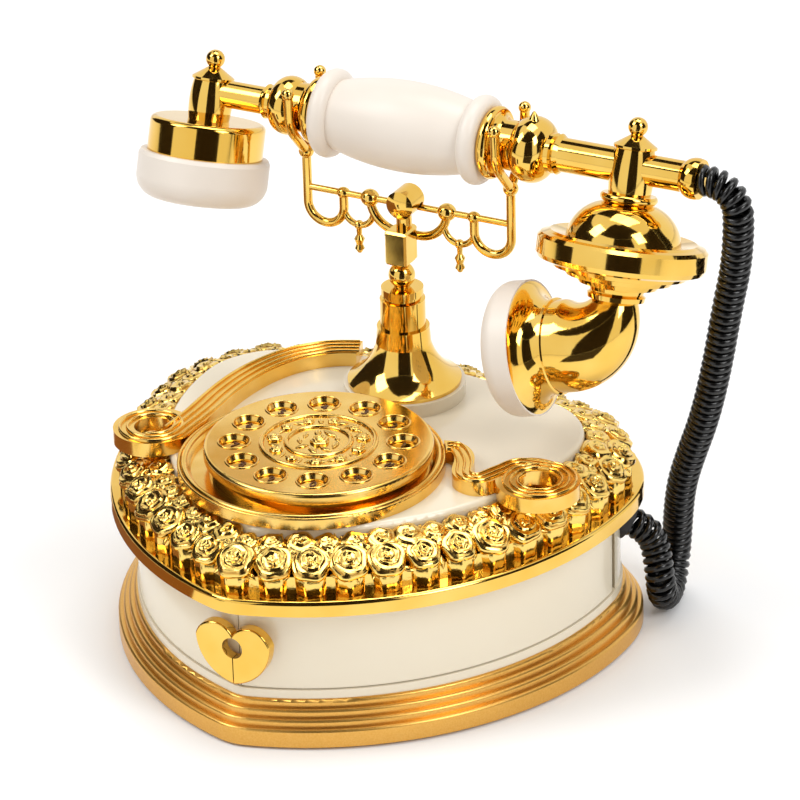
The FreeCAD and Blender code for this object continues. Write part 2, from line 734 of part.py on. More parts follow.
def plunger_rod():
    z0 = Z_SWITCH_TOP + SEAT_GAP
    tenon = ROD_R - 0.4
    rod = cylinder(ROD_R, 0, POST_Y, z0, Z_BEAD)
    neck = cylinder(tenon, 0, POST_Y, Z_BEAD, Z_BLOCK + TENON_L)
    return fuse([rod, Part.makeSphere(BEAD_R, V(0, POST_Y, Z_BEAD)), neck])


def medallion_solid(extra):
    z = Z_BAR + MEDALLION_UP
    length = FORK_Y + BAR_R * 2 - MEDALLION_FRONT_Y
    outline = [(0, -MEDALLION_R * 0.25), (MEDALLION_R * 0.6, -MEDALLION_R * 0.16, MEDALLION_R + extra, 0),
               (MEDALLION_R + extra, length), (0, length)]
    return oriented(turned(outline), V(0, MEDALLION_FRONT_Y, z), V(0, 1, 0), V(1, 0, 0))


def fork_medallion():
    hole = Part.makeCylinder(BIG_BEAD_R * 0.6 + SLIP, PRONG_X, V(-PRONG_X / 2, FORK_Y, Z_BAR), V(1, 0, 0))
    return medallion_solid(0).cut(hole)


def fork_block():
    back_r = BLOCK_W / 2
    back_y = BLOCK_FRONT_Y + BLOCK_D
    top = Z_BLOCK + BLOCK_H
    cube = box(-back_r, back_r, BLOCK_FRONT_Y, back_y, Z_BLOCK, top)
    cube = cube.makeChamfer(0.8, cube.Edges)
    heel = cylinder(back_r, 0, back_y, Z_BLOCK + 1, top - 1)
    neck = cylinder(ROD_R, 0, MEDALLION_FRONT_Y + ROD_R * 1.2, top - 1, Z_BAR + MEDALLION_UP)
    block = fuse([cube, heel, neck]).cut(medallion_solid(SLIP))
    block = block.cut(cylinder(ROD_R - 0.4 + SLIP, 0, POST_Y, Z_BLOCK, Z_BLOCK + TENON_L))
    return block.cut(arch(SLIP))


def arch(extra):
    """U-shaped bar that carries the fork behind the block."""
    z = Z_BAR - ARCH_R
    flat = BIG_BEAD_X - ARCH_R
    knee = ARCH_R * math.sqrt(0.5)
    left_foot = V(-flat, FORK_Y, z)
    right_foot = V(flat, FORK_Y, z)
    left = Part.Arc(V(-BIG_BEAD_X, FORK_Y, Z_BAR), V(-flat - knee, FORK_Y, Z_BAR - knee), left_foot)
    right = Part.Arc(right_foot, V(flat + knee, FORK_Y, Z_BAR - knee), V(BIG_BEAD_X, FORK_Y, Z_BAR))
    middle = Part.LineSegment(left_foot, right_foot)
    path = Part.Wire([left.toShape(), middle.toShape(), right.toShape()])
    section = Part.Wire(Part.makeCircle(PRONG_R + extra, V(-BIG_BEAD_X, FORK_Y, Z_BAR), V(0, 0, -1)))
    return path.makePipeShell([section], True, False)


def cradle_bar():
    small = (SMALL_BEAD_X, SMALL_BEAD_R)
    big = (BIG_BEAD_X, BIG_BEAD_R)
    outline = [(0, -PRONG_X), (BAR_R, -PRONG_X)]
    for side, (x, r) in ((-1, small), (-1, big), (1, big), (1, small)):
        outline += [(BAR_R, side * x - r), (r, side * x, BAR_R, side * x + r)]
    outline += [(BAR_R, PRONG_X), (0, PRONG_X)]
    return oriented(turned(outline), V(0, FORK_Y, Z_BAR), V(1, 0, 0), V(0, 1, 0))


def right_loop():
    """Prong that drops from the saddle, turns under in a J and comes up to the small bead."""
    r = (PRONG_X - SMALL_BEAD_X) / 2
    low = Z_BAR - LOOP_DROP
    mid_x = (PRONG_X + SMALL_BEAD_X) / 2
    down = Part.LineSegment(V(PRONG_X, FORK_Y, Z_BAR + PRONG_UP), V(PRONG_X, FORK_Y, low))
    turn = Part.Arc(V(PRONG_X, FORK_Y, low), V(mid_x, FORK_Y, low - r), V(SMALL_BEAD_X, FORK_Y, low))
    up = Part.LineSegment(V(SMALL_BEAD_X, FORK_Y, low), V(SMALL_BEAD_X, FORK_Y, Z_BAR))
    path = Part.Wire([down.toShape(), turn.toShape(), up.toShape()])
    section = Part.Wire(Part.makeCircle(PRONG_R, V(PRONG_X, FORK_Y, Z_BAR + PRONG_UP), V(0, 0, -1)))
    return path.makePipeShell([section], True, False)


def right_pendant():
    """Small swag between the J loop and the arch, with a turned drop under it."""
    inner = BIG_BEAD_X - 1.2
    sag = (SMALL_BEAD_X - inner) / 2
    mid = (SMALL_BEAD_X + inner) / 2
    z = Z_BAR - LOOP_DROP
    curve = Part.Arc(V(SMALL_BEAD_X, FORK_Y, z), V(mid, FORK_Y, z - sag), V(inner, FORK_Y, z))
    section = Part.Wire(Part.makeCircle(BAR_R, V(SMALL_BEAD_X, FORK_Y, z), V(0, 0, -1)))
    swag = Part.Wire([curve.toShape()]).makePipeShell([section], True, False)
    outline = [(0, 0), (BAR_R, 0), (BAR_R * 0.8, PENDANT_L * 0.35), (BAR_R * 1.6, PENDANT_L * 0.5),
               (BAR_R, PENDANT_L * 0.7), (BAR_R * 1.5, PENDANT_L * 0.85), (BAR_R * 0.6, PENDANT_L),
               (0, PENDANT_L)]
    drop = oriented(turned(outline), V(mid, FORK_Y, z - sag), V(0, 0, -1), V(1, 0, 0))
    return [swag, Part.makeSphere(BAR_R * 1.5, V(mid, FORK_Y, z - sag)), drop]


def right_saddle():
    """Open V of two bent bars, front and back, that the neck of the handset lies in."""
    foot_z = Z_BAR + PRONG_UP
    rest = NECK_R + SADDLE_R + SEAT_GAP
    lean = math.asin(rest / (HANDSET_Z - foot_z))
    y1 = SADDLE_RUN * math.sin(lean)
    z1 = SADDLE_RUN * math.cos(lean)
    pieces = [Part.makeSphere(SADDLE_BALL_R, V(PRONG_X, FORK_Y, foot_z))]
    for side in (-1, 1):
        points = [V(PRONG_X, FORK_Y, foot_z), V(PRONG_X, FORK_Y + side * y1, foot_z + z1),
                  V(PRONG_X, FORK_Y + side * (y1 + SADDLE_FLARE), foot_z + z1 + SADDLE_RISE),
                  V(PRONG_X, FORK_Y + side * (y1 + SADDLE_FLARE + SEAT_GAP), foot_z + SADDLE_TOP)]
        pieces.append(tube(points, SADDLE_R, 0.3))
        pieces.append(Part.makeSphere(SADDLE_TIP_R, points[-1]))
    return pieces


def cradle_fork():
    """One casting; its two sides are the same about the upright line through the middle of the bar."""
    right = fuse([right_loop()] + right_pendant() + right_saddle())
    left = right.copy()
    left.rotate(V(0, FORK_Y, 0), V(0, 0, 1), 180)
    return fuse([fuse([cradle_bar(), arch(0)]), right, left])


DOWN = V(0, -math.sin(math.radians(HANDSET_ROLL)), -math.cos(math.radians(HANDSET_ROLL)))
AXIS = V(0, FORK_Y, HANDSET_Z)


def along_x(profile):
    """Turned piece on the handset's long axis: heights are x positions."""
    return oriented(turned(profile), AXIS, V(1, 0, 0), V(0, 0, -1))


def hung(profile, x):
    """Turned piece on the axis that drops from the handset at x: heights run down."""
    return oriented(turned(profile), AXIS.add(V(x, 0, 0)), DOWN, V(1, 0, 0))


def grip():
    bore = TIE_R + SLIP
    half_t = FLANGE_T / 2
    mid = GRIP_HALF - half_t
    inner = GRIP_HALF - FLANGE_T
    face = FLANGE_R - half_t
    outline = [(bore, -GRIP_HALF), (face, -GRIP_HALF), (FLANGE_R, -mid, face, -inner), (GRIP_END_R, -inner),
               (GRIP_MID_R, 0, GRIP_END_R, inner), (face, inner), (FLANGE_R, mid, face, GRIP_HALF),
               (bore, GRIP_HALF)]
    return along_x(outline)


def tie_rod():
    return along_x([(0, -TIE_HALF), (TIE_R, -TIE_HALF), (TIE_R, TIE_HALF), (0, TIE_HALF)])


def arm_outline(side, bell_r, bulb_x, bulb_r, bulb_half, collar_r, arm_r, end_x):
    """Ferrule bell, neck, bulb, collar rings and plain rod, from the grip outwards."""
    bore = TIE_R + SLIP
    half = TIE_HALF + SLIP
    bell_l = NECK_X - GRIP_HALF
    out = bulb_x + bulb_half
    points = [(0, half), (bore, half), (bore, GRIP_HALF), (bell_r * 0.9, GRIP_HALF),
              (bell_r, GRIP_HALF + bell_l * 0.3, bell_r * 0.93, GRIP_HALF + bell_l * 0.58),
              (NECK_R * 1.05, GRIP_HALF + bell_l * 0.75, NECK_R, NECK_X), (NECK_R, bulb_x - bulb_half),
              (bulb_r, bulb_x, collar_r, out), (collar_r, out + collar_r * 0.23),
              (collar_r * 0.86, out + collar_r * 0.31), (collar_r * 1.02, out + collar_r * 0.48),
              (arm_r, out + collar_r * 0.68), (arm_r, end_x), (0, end_x)]
    return [tuple(v * side if i % 2 else v for i, v in enumerate(p)) for p in points]


def ear_arm():
    rod = along_x(arm_outline(-1, EAR_BELL_R, EAR_BULB_X, EAR_BULB_R, EAR_BULB_HALF, EAR_COLLAR_R,
                              EAR_ARM_R, -EAR_X))
    return rod.cut(ear_socket())


def mouth_arm():
    rod = along_x(arm_outline(1, MOUTH_BELL_R, MOUTH_BULB_X, MOUTH_BULB_R, MOUTH_BULB_HALF, MOUTH_COLLAR_R,
                              MOUTH_ARM_R, MOUTH_X))
    at = V(MOUTH_BULB_X, FORK_Y, HANDSET_Z + MOUTH_BULB_R - KNOB_SINK)
    knob = Part.makeCone(KNOB_R, KNOB_TIP_R, KNOB_H, at)
    return fuse([rod, knob]).cut(mouth_socket())


def socket_outline(lip, end):
    """Ball finial, conical cap and barrel, from the top down."""
    ball = FINIAL_R
    cone = lip - FINIAL_CONE
    top = cone - 2 * ball + FINIAL_SINK
    return [(0, top), (ball, top + ball, ball * 0.6, cone), (SOCKET_R * 0.98, lip),
            (SOCKET_R * 0.98, lip + SOCKET_R * 0.1), (SOCKET_R * 0.88, lip + SOCKET_R * 0.15),
            (SOCKET_R, (lip + end) / 2, SOCKET_R * 0.95, end), (0, end)]


def ear_socket():
    return hung(socket_outline(EAR_LIP, DRUM_TOP), EAR_X)


def ear_drum():
    edge = 2.2
    inner = DRUM_R - DRUM_WALL
    bulge = edge * 0.3
    outline = [(0, DRUM_TOP), (DRUM_R - edge, DRUM_TOP),
               (DRUM_R - bulge, DRUM_TOP + bulge, DRUM_R, DRUM_TOP + edge),
               (DRUM_R, DRUM_END), (inner, DRUM_END), (inner, DRUM_TOP + DRUM_WALL),
                (0, DRUM_TOP + DRUM_WALL)]
    return hung(outline, EAR_X)


def sound_holes(ring_r, origin, z_dir, depth):
    """Seven small holes, one in the middle of a ring of six."""
    holes = [Part.makeCylinder(HOLE_R, depth)]
    for i in range(6):
        holes.append(Part.makeCylinder(HOLE_R, depth, polar(V(0, 0, 0), ring_r, math.radians(60 * i))))
    return oriented(Part.makeCompound(holes), origin, z_dir, V(0, 1, 0))


def ear_cap():
    seat = DRUM_R + SLIP
    room = CUP_R - CUP_WALL
    floor = CUP_END - CUP_FACE
    r = CUP_ROUND
    dish = 2.0
    outline = [(seat, CUP_TOP), (CUP_R - 0.8, CUP_TOP), (CUP_R, CUP_TOP + 1.5), (CUP_R, CUP_END - r),
               (CUP_R - r * 0.3, CUP_END - r * 0.3, CUP_R - r, CUP_END), (CUP_R - r - 2, CUP_END),
               (0, CUP_END - dish), (0, floor), (room, floor), (room, DRUM_END), (seat, DRUM_END)]
    cap = hung(outline, EAR_X)
    start = AXIS.add(V(EAR_X, 0, 0)).add(V(DOWN).multiply(floor))
    return cap.cut(sound_holes(EAR_HOLE_RING, start, DOWN, CUP_FACE))


def receiver():
    r = CUP_R - CUP_WALL - SLIP
    floor = CUP_END - CUP_FACE
    step = (DRUM_END + floor) / 2
    outline = [(0, DRUM_END), (r * 0.7, DRUM_END), (r * 0.7, step), (r, step), (r, floor), (0, floor)]
    return hung(outline, EAR_X)


def mouth_socket():
    return hung(socket_outline(MOUTH_LIP, DOME_TOP), MOUTH_X)


def mouth_body():
    """Ring neck, dome, wide banded disc and stepped taper that carry the horn."""
    neck = SOCKET_R * 1.2
    depth = BODY_END - DOME_END
    outline = [(0, DOME_TOP), (neck, DOME_TOP),
               (neck * 1.08, DOME_TOP + neck * 0.14, neck, DOME_TOP + neck * 0.28),
               (neck * 0.92, DOME_TOP + neck * 0.34),
               (DOME_R * 0.86, DOME_END - DOME_R * 0.35, DOME_R, DOME_END)]
    outline += [(FLANGE_DISC_R * r, DOME_END + depth * h) for r, h in DISC_STEPS]
    outline.append((0, BODY_END))
    return hung(outline, MOUTH_X)


def horn_frame(turn, run):
    """Point and direction on the horn's centre line, after so many degrees of bend and so much run."""
    a = math.radians(turn)
    x = MOUTH_X - HORN_BEND_R * (1 - math.cos(a)) - run * math.sin(a)
    drop = BODY_END + HORN_BEND_R * math.sin(a) + run * math.cos(a)
    point = AXIS.add(V(x, 0, 0)).add(V(DOWN).multiply(drop))
    way = V(-math.sin(a), 0, 0).add(V(DOWN).multiply(math.cos(a)))
    return point, way


def horn_elbow(inset):
    """Bend through round sections that widen quickly, then slowly, up to the throat."""
    count = 6
    wires = []
    for i in range(count + 1):
        share = i / count
        r = HORN_R + (HORN_THROAT_R - HORN_R) * math.sin(share * math.pi / 2)
        point, way = horn_frame(HORN_TURN * share, 0)
        wires.append(Part.Wire(Part.makeCircle(r - inset, point, way)))
    return Part.makeLoft(wires, True, False)


def horn_flare(inset, past, ridge):
    """Throat with a raised ring, then the flare out to the lip."""
    throat = HORN_THROAT_R - inset
    lip = HORN_LIP_R - inset
    outline = [(0, 0), (throat, 0), (throat, HORN_RUN * 0.24), (throat + ridge, HORN_RUN * 0.27),
               (throat + ridge, HORN_RUN * 0.36), (throat, HORN_RUN * 0.39),
               (throat + (lip - throat) * 0.22, HORN_RUN * 0.74, lip, HORN_RUN), (lip, HORN_RUN + past),
               (0, HORN_RUN + past)]
    point, way = horn_frame(HORN_TURN, 0)
    return oriented(turned(outline), point, way, V(0, 1, 0).cross(way))


def mouth_horn():
    room = fuse([horn_elbow(HORN_WALL), horn_flare(HORN_WALL, HORN_WALL, 0)])
    return fuse([horn_elbow(0), horn_flare(0, 0, HORN_RIDGE)]).cut(room)


def mouth_ring():
    r = MOUTH_RING_R
    length = MOUTH_RING_L
    room = r - MOUTH_RING_WALL
    face = length - MOUTH_FACE_T
    dish = MOUTH_FACE_T * 0.4
    edge = MOUTH_RING_L / 2
    outline = [(room, 0), (r, 0), (r, length - edge),
               (r - edge * 0.3, length - edge * 0.27, r - edge, length), (room * 0.7, length),
               (0, length - dish), (0, face), (room, face)]
    point, way = horn_frame(HORN_TURN, HORN_RUN)
    ring = oriented(turned(outline), point, way, V(0, 1, 0).cross(way))
    start = point.add(V(way).multiply(face))
    return ring.cut(sound_holes(MOUTH_HOLE_RING, start, way, MOUTH_FACE_T))


def microphone():
    point, way = horn_frame(HORN_TURN, HORN_RUN)
    seat = MOUTH_RING_L - MOUTH_FACE_T
    can = turned([(0, seat - MIC_L), (MIC_R, seat - MIC_L), (MIC_R, seat), (0, seat)])
    return oriented(can, point, way, V(0, 1, 0).cross(way))


def end_sleeve():
    x0 = SLEEVE_END_X - COLLAR_L
    outline = [(0, MOUTH_X), (SLEEVE_R, MOUTH_X), (SLEEVE_R, x0 - 1.5), (COLLAR_R * 0.9, x0),
               (COLLAR_R, x0 + COLLAR_L * 0.5, COLLAR_R * 0.95, SLEEVE_END_X), (0, SLEEVE_END_X)]
    return along_x(outline).cut(mouth_socket())


GLAND_YAW = math.radians(GLAND_ANGLE)
GLAND_PITCH = math.radians(GLAND_TILT)
GLAND_OUTWARD = V(math.cos(GLAND_YAW), math.sin(GLAND_YAW), 0)
GLAND_DIR = V(GLAND_OUTWARD).multiply(math.cos(GLAND_PITCH)).sub(V(0, 0, math.sin(GLAND_PITCH)))
GLAND_WALL = V(LOBE_X, LOBE_Y, GLAND_Z).add(V(GLAND_OUTWARD).multiply(LOBE_R))


def gland_body(r):
    start = GLAND_WALL.sub(V(GLAND_DIR).multiply(WALL * 2))
    return Part.makeCylinder(r, WALL * 2 + GLAND_OUT, start, GLAND_DIR)


def cord_gland():
    """Grommet with a flange on each side of the wall, cut to the wall's curve."""
    flange = Part.makeCylinder(GLAND_R + GLAND_FLANGE, WALL * 2 + GLAND_OUT - 1,
                               GLAND_WALL.sub(V(GLAND_DIR).multiply(WALL * 2 - 0.5)), GLAND_DIR)
    wall = shield(SLIP, Z_FLOOR, Z_RIM).cut(shield(-WALL - SLIP, Z_FLOOR, Z_RIM))
    return fuse([gland_body(GLAND_R), flange.cut(wall)])


def bend(centre, r, u, w, start, turn, count):
    """Corners of an even polygon round a circle, from one angle through a turn, in degrees."""
    step = math.radians(turn) / count
    reach = r / math.cos(step / 2)
    corners = []
    for i in range(count):
        a = math.radians(start) + step * (i + 0.5)
        corners.append(centre.add(V(u).multiply(reach * math.cos(a))).add(V(w).multiply(reach * math.sin(a))))
    return corners


def cord_route():
    """Centre line of the coil, from the end of the handset down to the table and up to the gland."""
    start = V(SLEEVE_END_X + SLIP, FORK_Y, HANDSET_Z)
    up = V(0, 0, 1)
    top = start.add(V(CORD_EXIT_R * 0.23, 0, -CORD_EXIT_R))
    gland = GLAND_WALL.add(V(GLAND_DIR).multiply(GLAND_OUT + SLIP))
    lead = gland.add(V(GLAND_DIR).multiply(CORD_D * 0.6))
    steep = V(GLAND_OUTWARD).multiply(0.5).sub(V(0, 0, math.sqrt(0.75)))
    fall = lead.add(V(steep).multiply(CORD_D * 0.6))
    yaw = math.radians(CORD_FOLD_YAW)
    across = V(math.cos(yaw), math.sin(yaw), 0)
    drop = [V(*p) for p in CORD_DROP]
    fold = bend(V(*CORD_FOLD), CORD_FOLD_R, across, up, CORD_FOLD_START, CORD_FOLD_TURN, 6)
    return [start] + bend(top, CORD_EXIT_R, up, V(1, 0, 0), 0, 100, 4) + drop + fold + [fall, lead, gland]


def handset_cord():
    return tube(cord_route(), CORD_D / 2, 0.45, "cord")


def jack_block(extra, past):
    """Body of the jack, grown by a clearance and lengthened past its outer face."""
    y1 = BACK.y + BACK_R - JACK_RECESS
    z0 = Z_FLOOR + JACK_UP - extra
    half = JACK_W / 2 + extra
    return box(-half, half, y1 - JACK_L, y1 + past, z0, z0 + JACK_H + 2 * extra)


def line_jack():
    block = jack_block(0, 0)
    y1 = block.BoundBox.YMax
    z = (block.BoundBox.ZMin + block.BoundBox.ZMax) / 2
    half = JACK_SOCKET_W / 2
    foot = box(-JACK_W / 2, JACK_W / 2, y1 - JACK_L, y1 - JACK_L / 2, Z_FLOOR, block.BoundBox.ZMin)
    socket = box(-half, half, y1 - JACK_SOCKET_L, y1, z - JACK_SOCKET_H / 2, z + JACK_SOCKET_H / 2)
    return fuse([block.cut(socket), foot])


def main_board():
    x0 = BOARD_X - BOARD_W / 2
    y0 = BOARD_Y - BOARD_D / 2
    top = Z_FLOOR + BOARD_T
    board = box(x0, x0 + BOARD_W, y0, y0 + BOARD_D, Z_FLOOR, top)
    chip = box(x0 + BOARD_W * 0.2, x0 + BOARD_W * 0.4, y0 + BOARD_D * 0.3, y0 + BOARD_D * 0.7, top, top + 3)
    coil = box(x0 + BOARD_W * 0.65, x0 + BOARD_W * 0.85, y0 + BOARD_D * 0.2, y0 + BOARD_D * 0.8, top, top + 9)
    return fuse([board, chip, coil])


def ringer():
    can = cylinder(RINGER_R, RINGER_X, RINGER_Y, Z_FLOOR, Z_FLOOR + RINGER_H)
    port = cylinder(RINGER_R / 5, RINGER_X, RINGER_Y, Z_FLOOR + RINGER_H - 2, Z_FLOOR + RINGER_H)
    return can.cut(port)


def hook_switch():
    half_w = SWITCH_W / 2
    half_d = SWITCH_D / 2
    body = box(-half_w, half_w, POST_Y - half_d, POST_Y + half_d, Z_DECK, Z_DECK + SWITCH_H)
    return fuse([body, cylinder(SWITCH_BUTTON_R, 0, POST_Y, Z_DECK, Z_SWITCH_TOP)])


def build():
    tray = right_tray()
    pull = right_pull()
    nodes = {
        "felt_pad": felt_pad(), "base_moulding": base_moulding(), "bottom_plate": bottom_plate(),
        "bottom_screws": bottom_screws(), "sill_plate": sill_plate(), "rear_shell": rear_shell(),
        "hinge_pins": hinge_pins(), "right_tray": tray, "left_tray": mirrored(tray), "right_pull": pull,
        "left_pull": mirrored(pull), "rim_plate": rim_plate(), "rose_garland": rose_garland(),
        "top_cover": top_cover(), "dial_ring": dial_ring(), "dial_base": dial_base(),
        "keypad_board": keypad_board(), "dial_plate": dial_plate(), "dial_medallion": dial_medallion(),
        "left_scroll": left_scroll(), "right_scroll": right_scroll(), "post_bell": post_bell(),
        "post_tube": post_tube(), "plunger_rod": plunger_rod(), "fork_block": fork_block(),
        "fork_medallion": fork_medallion(), "cradle_fork": cradle_fork(), "hook_switch": hook_switch(),
        "main_board": main_board(), "ringer": ringer(), "line_jack": line_jack(), "cord_gland": cord_gland(),
        "handset_cord": handset_cord(), "grip": grip(), "tie_rod": tie_rod(), "ear_arm": ear_arm(),
        "ear_socket": ear_socket(), "ear_drum": ear_drum(), "ear_cap": ear_cap(), "receiver": receiver(),
        "mouth_arm": mouth_arm(), "mouth_socket": mouth_socket(), "mouth_body": mouth_body(),
        "mouth_horn": mouth_horn(), "mouth_ring": mouth_ring(), "microphone": microphone(),
        "end_sleeve": end_sleeve(),
    }
    for i, name in enumerate(KEY_NAMES):
        nodes["key_" + name] = key(i)
    return nodes


os.makedirs("parts", exist_ok=True)
for node, shape in build().items():
    shape.exportStep("parts/%s.step" % node)
    print("%-16s solids %d  valid %s  volume %.1f" % (node, len(shape.Solids), shape.isValid(), shape.Volume))
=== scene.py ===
# %% [markdown]
# # A French-style cradle telephone
# The body is a white box with a blunt point at the front, ringed by a garland of gold roses. A gold
# post carries a fork, and a long handset lies in it. The solids come in as a fixed frame, and this
# file adds finishes and the fine relief that castings and plating show.

# %% Load the frame
import bpy
import bmesh
import math
from mathutils import Matrix, Vector


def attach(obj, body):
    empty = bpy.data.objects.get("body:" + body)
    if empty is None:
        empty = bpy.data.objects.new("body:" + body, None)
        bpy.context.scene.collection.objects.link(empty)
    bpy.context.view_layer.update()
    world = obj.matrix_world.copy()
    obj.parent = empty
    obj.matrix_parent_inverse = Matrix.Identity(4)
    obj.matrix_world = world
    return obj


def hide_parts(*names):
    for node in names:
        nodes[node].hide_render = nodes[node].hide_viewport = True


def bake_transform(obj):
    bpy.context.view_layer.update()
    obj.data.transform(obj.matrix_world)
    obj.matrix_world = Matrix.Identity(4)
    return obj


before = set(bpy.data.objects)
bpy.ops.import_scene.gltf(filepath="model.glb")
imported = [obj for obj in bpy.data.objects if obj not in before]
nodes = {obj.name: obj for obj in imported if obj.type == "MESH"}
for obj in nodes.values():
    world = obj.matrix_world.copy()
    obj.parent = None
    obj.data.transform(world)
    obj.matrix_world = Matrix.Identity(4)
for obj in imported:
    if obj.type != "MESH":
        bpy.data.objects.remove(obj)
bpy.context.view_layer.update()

MM = 0.001
FULL_TURN = 2 * math.pi
scene = bpy.context.scene

# %% [markdown]
# ## Camera
# The picture was taken with a long lens from the front right and above, so the far side hardly
# shrinks. The eye and the aim are points in the frame of the solids, in metres, and a small roll is
# added about the view.

# %% Camera
EYE = Vector((0.7486, -1.3487, 0.8695))
AIM = Vector((0.0106, 0.0277, 0.0911))
ROLL = math.radians(-1.6)
SENSOR_MM = 36.0
LENS_MM = 205.9
camera = bpy.data.objects.new("camera", bpy.data.cameras.new("camera"))
camera.data.sensor_width = SENSOR_MM
camera.data.lens = LENS_MM
scene.collection.objects.link(camera)
ahead = (AIM - EYE).normalized()
level = ahead.cross(Vector((0, 0, 1))).normalized()
upright = level.cross(ahead)
right = level * math.cos(ROLL) + upright * math.sin(ROLL)
up = upright * math.cos(ROLL) - level * math.sin(ROLL)
turn = Matrix((right, up, -ahead)).transposed().to_4x4()
camera.matrix_world = Matrix.Translation(EYE) @ turn
scene.camera = camera
print("camera", round((AIM - EYE).length, 3), "m away")

# %% [markdown]
# ## Helpers
# One function turns a hex colour to linear light, one adds a shader or geometry node with its
# settings and links, one turns a list of points and faces into an object at the origin, and one
# gives a piece its finish, its body and its material slot.


# %% Helpers
def tint(code):
    """Linear RGBA of a hex colour in sRGB."""
    parts = [int(code[i:i + 2], 16) / 255 for i in (1, 3, 5)]
    return tuple(c / 12.92 if c <= 0.04045 else ((c + 0.055) / 1.055) ** 2.4 for c in parts) + (1.0,)


def add(tree, kind, links=None, **settings):
    """Add a node; links maps an input's name or number to a value or to another node's output."""
    made = tree.nodes.new(kind)
    for name, value in settings.items():
        setattr(made, name, value)
    for key, value in (links or {}).items():
        if isinstance(value, bpy.types.NodeSocket):
            tree.links.new(value, made.inputs[key])
        else:
            made.inputs[key].default_value = value
    return made


def solid(name, points, faces, smooth=True):
    mesh = bpy.data.meshes.new(name)
    mesh.from_pydata([tuple(p) for p in points], [], faces)
    mesh.validate()
    work = bmesh.new()
    work.from_mesh(mesh)
    bmesh.ops.remove_doubles(work, verts=work.verts, dist=1e-6)
    bmesh.ops.recalc_face_normals(work, faces=work.faces)
    work.to_mesh(mesh)
    work.free()
    mesh.polygons.foreach_set("use_smooth", [smooth] * len(mesh.polygons))
    made = bpy.data.objects.new(name, mesh)
    scene.collection.objects.link(made)
    return made


def finish_piece(piece, body, material):
    piece.data.materials.clear()
    piece.data.materials.append(material)
    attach(piece, body)
    return piece


print("helpers ready")

# %% [markdown]
# ## The curly cord
# The coil runs from the end of the handset down to the table, folds and goes up into its gland. The
# route is a smooth NURBS line through a few control points, and the wire winds round the points
# that are read back from that line.

# %% The curly cord's line
ROUTE = [
    (122.0, 58.6, 190.5), (127.5, 58.6, 190.5), (132.3, 58.6, 188.3), (135.7, 58.6, 184.2),
    (137.1, 58.6, 179.0), (134.4, 63.2, 157.0), (129.8, 65.4, 138.0), (123.8, 68.8, 108.0),
    (117.0, 73.0, 84.0), (110.2, 76.4, 66.8), (104.2, 79.6, 49.0), (99.0, 87.9, 19.6),
    (99.6, 85.0, 11.3), (101.1, 78.1, 6.3), (102.9, 69.5, 6.3), (104.4, 62.6, 11.3),
    (105.0, 59.7, 19.6), (101.0, 64.0, 32.0), (97.8, 62.4, 38.3), (92.3, 59.6, 41.9),
]
line = bpy.data.curves.new("cord_line", "CURVE")
line.dimensions = "3D"
spline = line.splines.new("NURBS")
spline.points.add(len(ROUTE) - 1)
for point, place in zip(spline.points, ROUTE):
    point.co = [v * MM for v in place] + [1.0]
spline.order_u = 3
spline.use_endpoint_u = True
spline.resolution_u = 24
line_object = bpy.data.objects.new("cord_line", line)
scene.collection.objects.link(line_object)
bpy.context.view_layer.update()
drawn = line_object.evaluated_get(bpy.context.evaluated_depsgraph_get())
path = [v.co.copy() for v in bpy.data.meshes.new_from_object(drawn).vertices]
bpy.data.objects.remove(line_object)
cord_length = sum((b - a).length for a, b in zip(path, path[1:]))
print("cord line", len(path), "points", round(cord_length, 4), "m")

# %% [markdown]
# The wire is about 3 mm thick and the coil 12 mm across. A frame is carried along the line without
# twisting, and the wire's own ring of points is set out in it, turn by turn.

# %% The coil
COIL_D = 12.0 * MM
WIRE_R = 1.5 * MM
PITCH = 3.3 * MM
STEPS = 16
SIDES = 8


def even_points(points, count):
    """This many points at an even pitch along a line of points."""
    gaps = [(b - a).length for a, b in zip(points, points[1:])]
    total = sum(gaps)
    result = []
    index, start = 0, 0.0
    for i in range(count):
        at = total * i / (count - 1)
        while index < len(gaps) - 1 and at > start + gaps[index]:
            start += gaps[index]
            index += 1
        share = min(1.0, (at - start) / gaps[index]) if gaps[index] else 0.0
        result.append(points[index].lerp(points[index + 1], share))
    return result


def heading(line, i):
    """Direction of a line of points at one of them."""
    return (line[min(i + 1, len(line) - 1)] - line[max(i - 1, 0)]).normalized()


turns = round(cord_length / PITCH)
rail = even_points(path, turns * STEPS + 1)
normal = Vector((0, 1, 0))
wire = []
for i, place in enumerate(rail):
    way = heading(rail, i)
    normal = (normal - way * normal.dot(way)).normalized()
    side = way.cross(normal)
    angle = FULL_TURN * i / STEPS
    reach = COIL_D / 2 - WIRE_R
    wire.append(place + (normal * math.cos(angle) + side * math.sin(angle)) * reach)
points, faces = [], []
for i, place in enumerate(wire):
    way = heading(wire, i)
    out = (place - rail[i]).normalized()
    out = (out - way * out.dot(way)).normalized()
    side = way.cross(out)
    for k in range(SIDES):
        a = FULL_TURN * k / SIDES
        points.append(place + (out * math.cos(a) + side * math.sin(a)) * WIRE_R)
for i in range(len(wire) - 1):
    for k in range(SIDES):
        a, b = i * SIDES + k, i * SIDES + (k + 1) % SIDES
        faces.append((a, b, b + SIDES, a + SIDES))
faces.append(tuple(reversed(range(SIDES))))
faces.append(tuple(range(len(points) - SIDES, len(points))))
curly_cord = solid("curly_cord", points, faces)
print("coil", turns, "turns", len(faces), "faces")

# %% [markdown]
# ## Finishes
# One function makes every finish. Noise of a given grain drives a change between two tones, a second
# noise changes the roughness, and a third lifts a shallow bump. A grain is a size in mm and a detail.


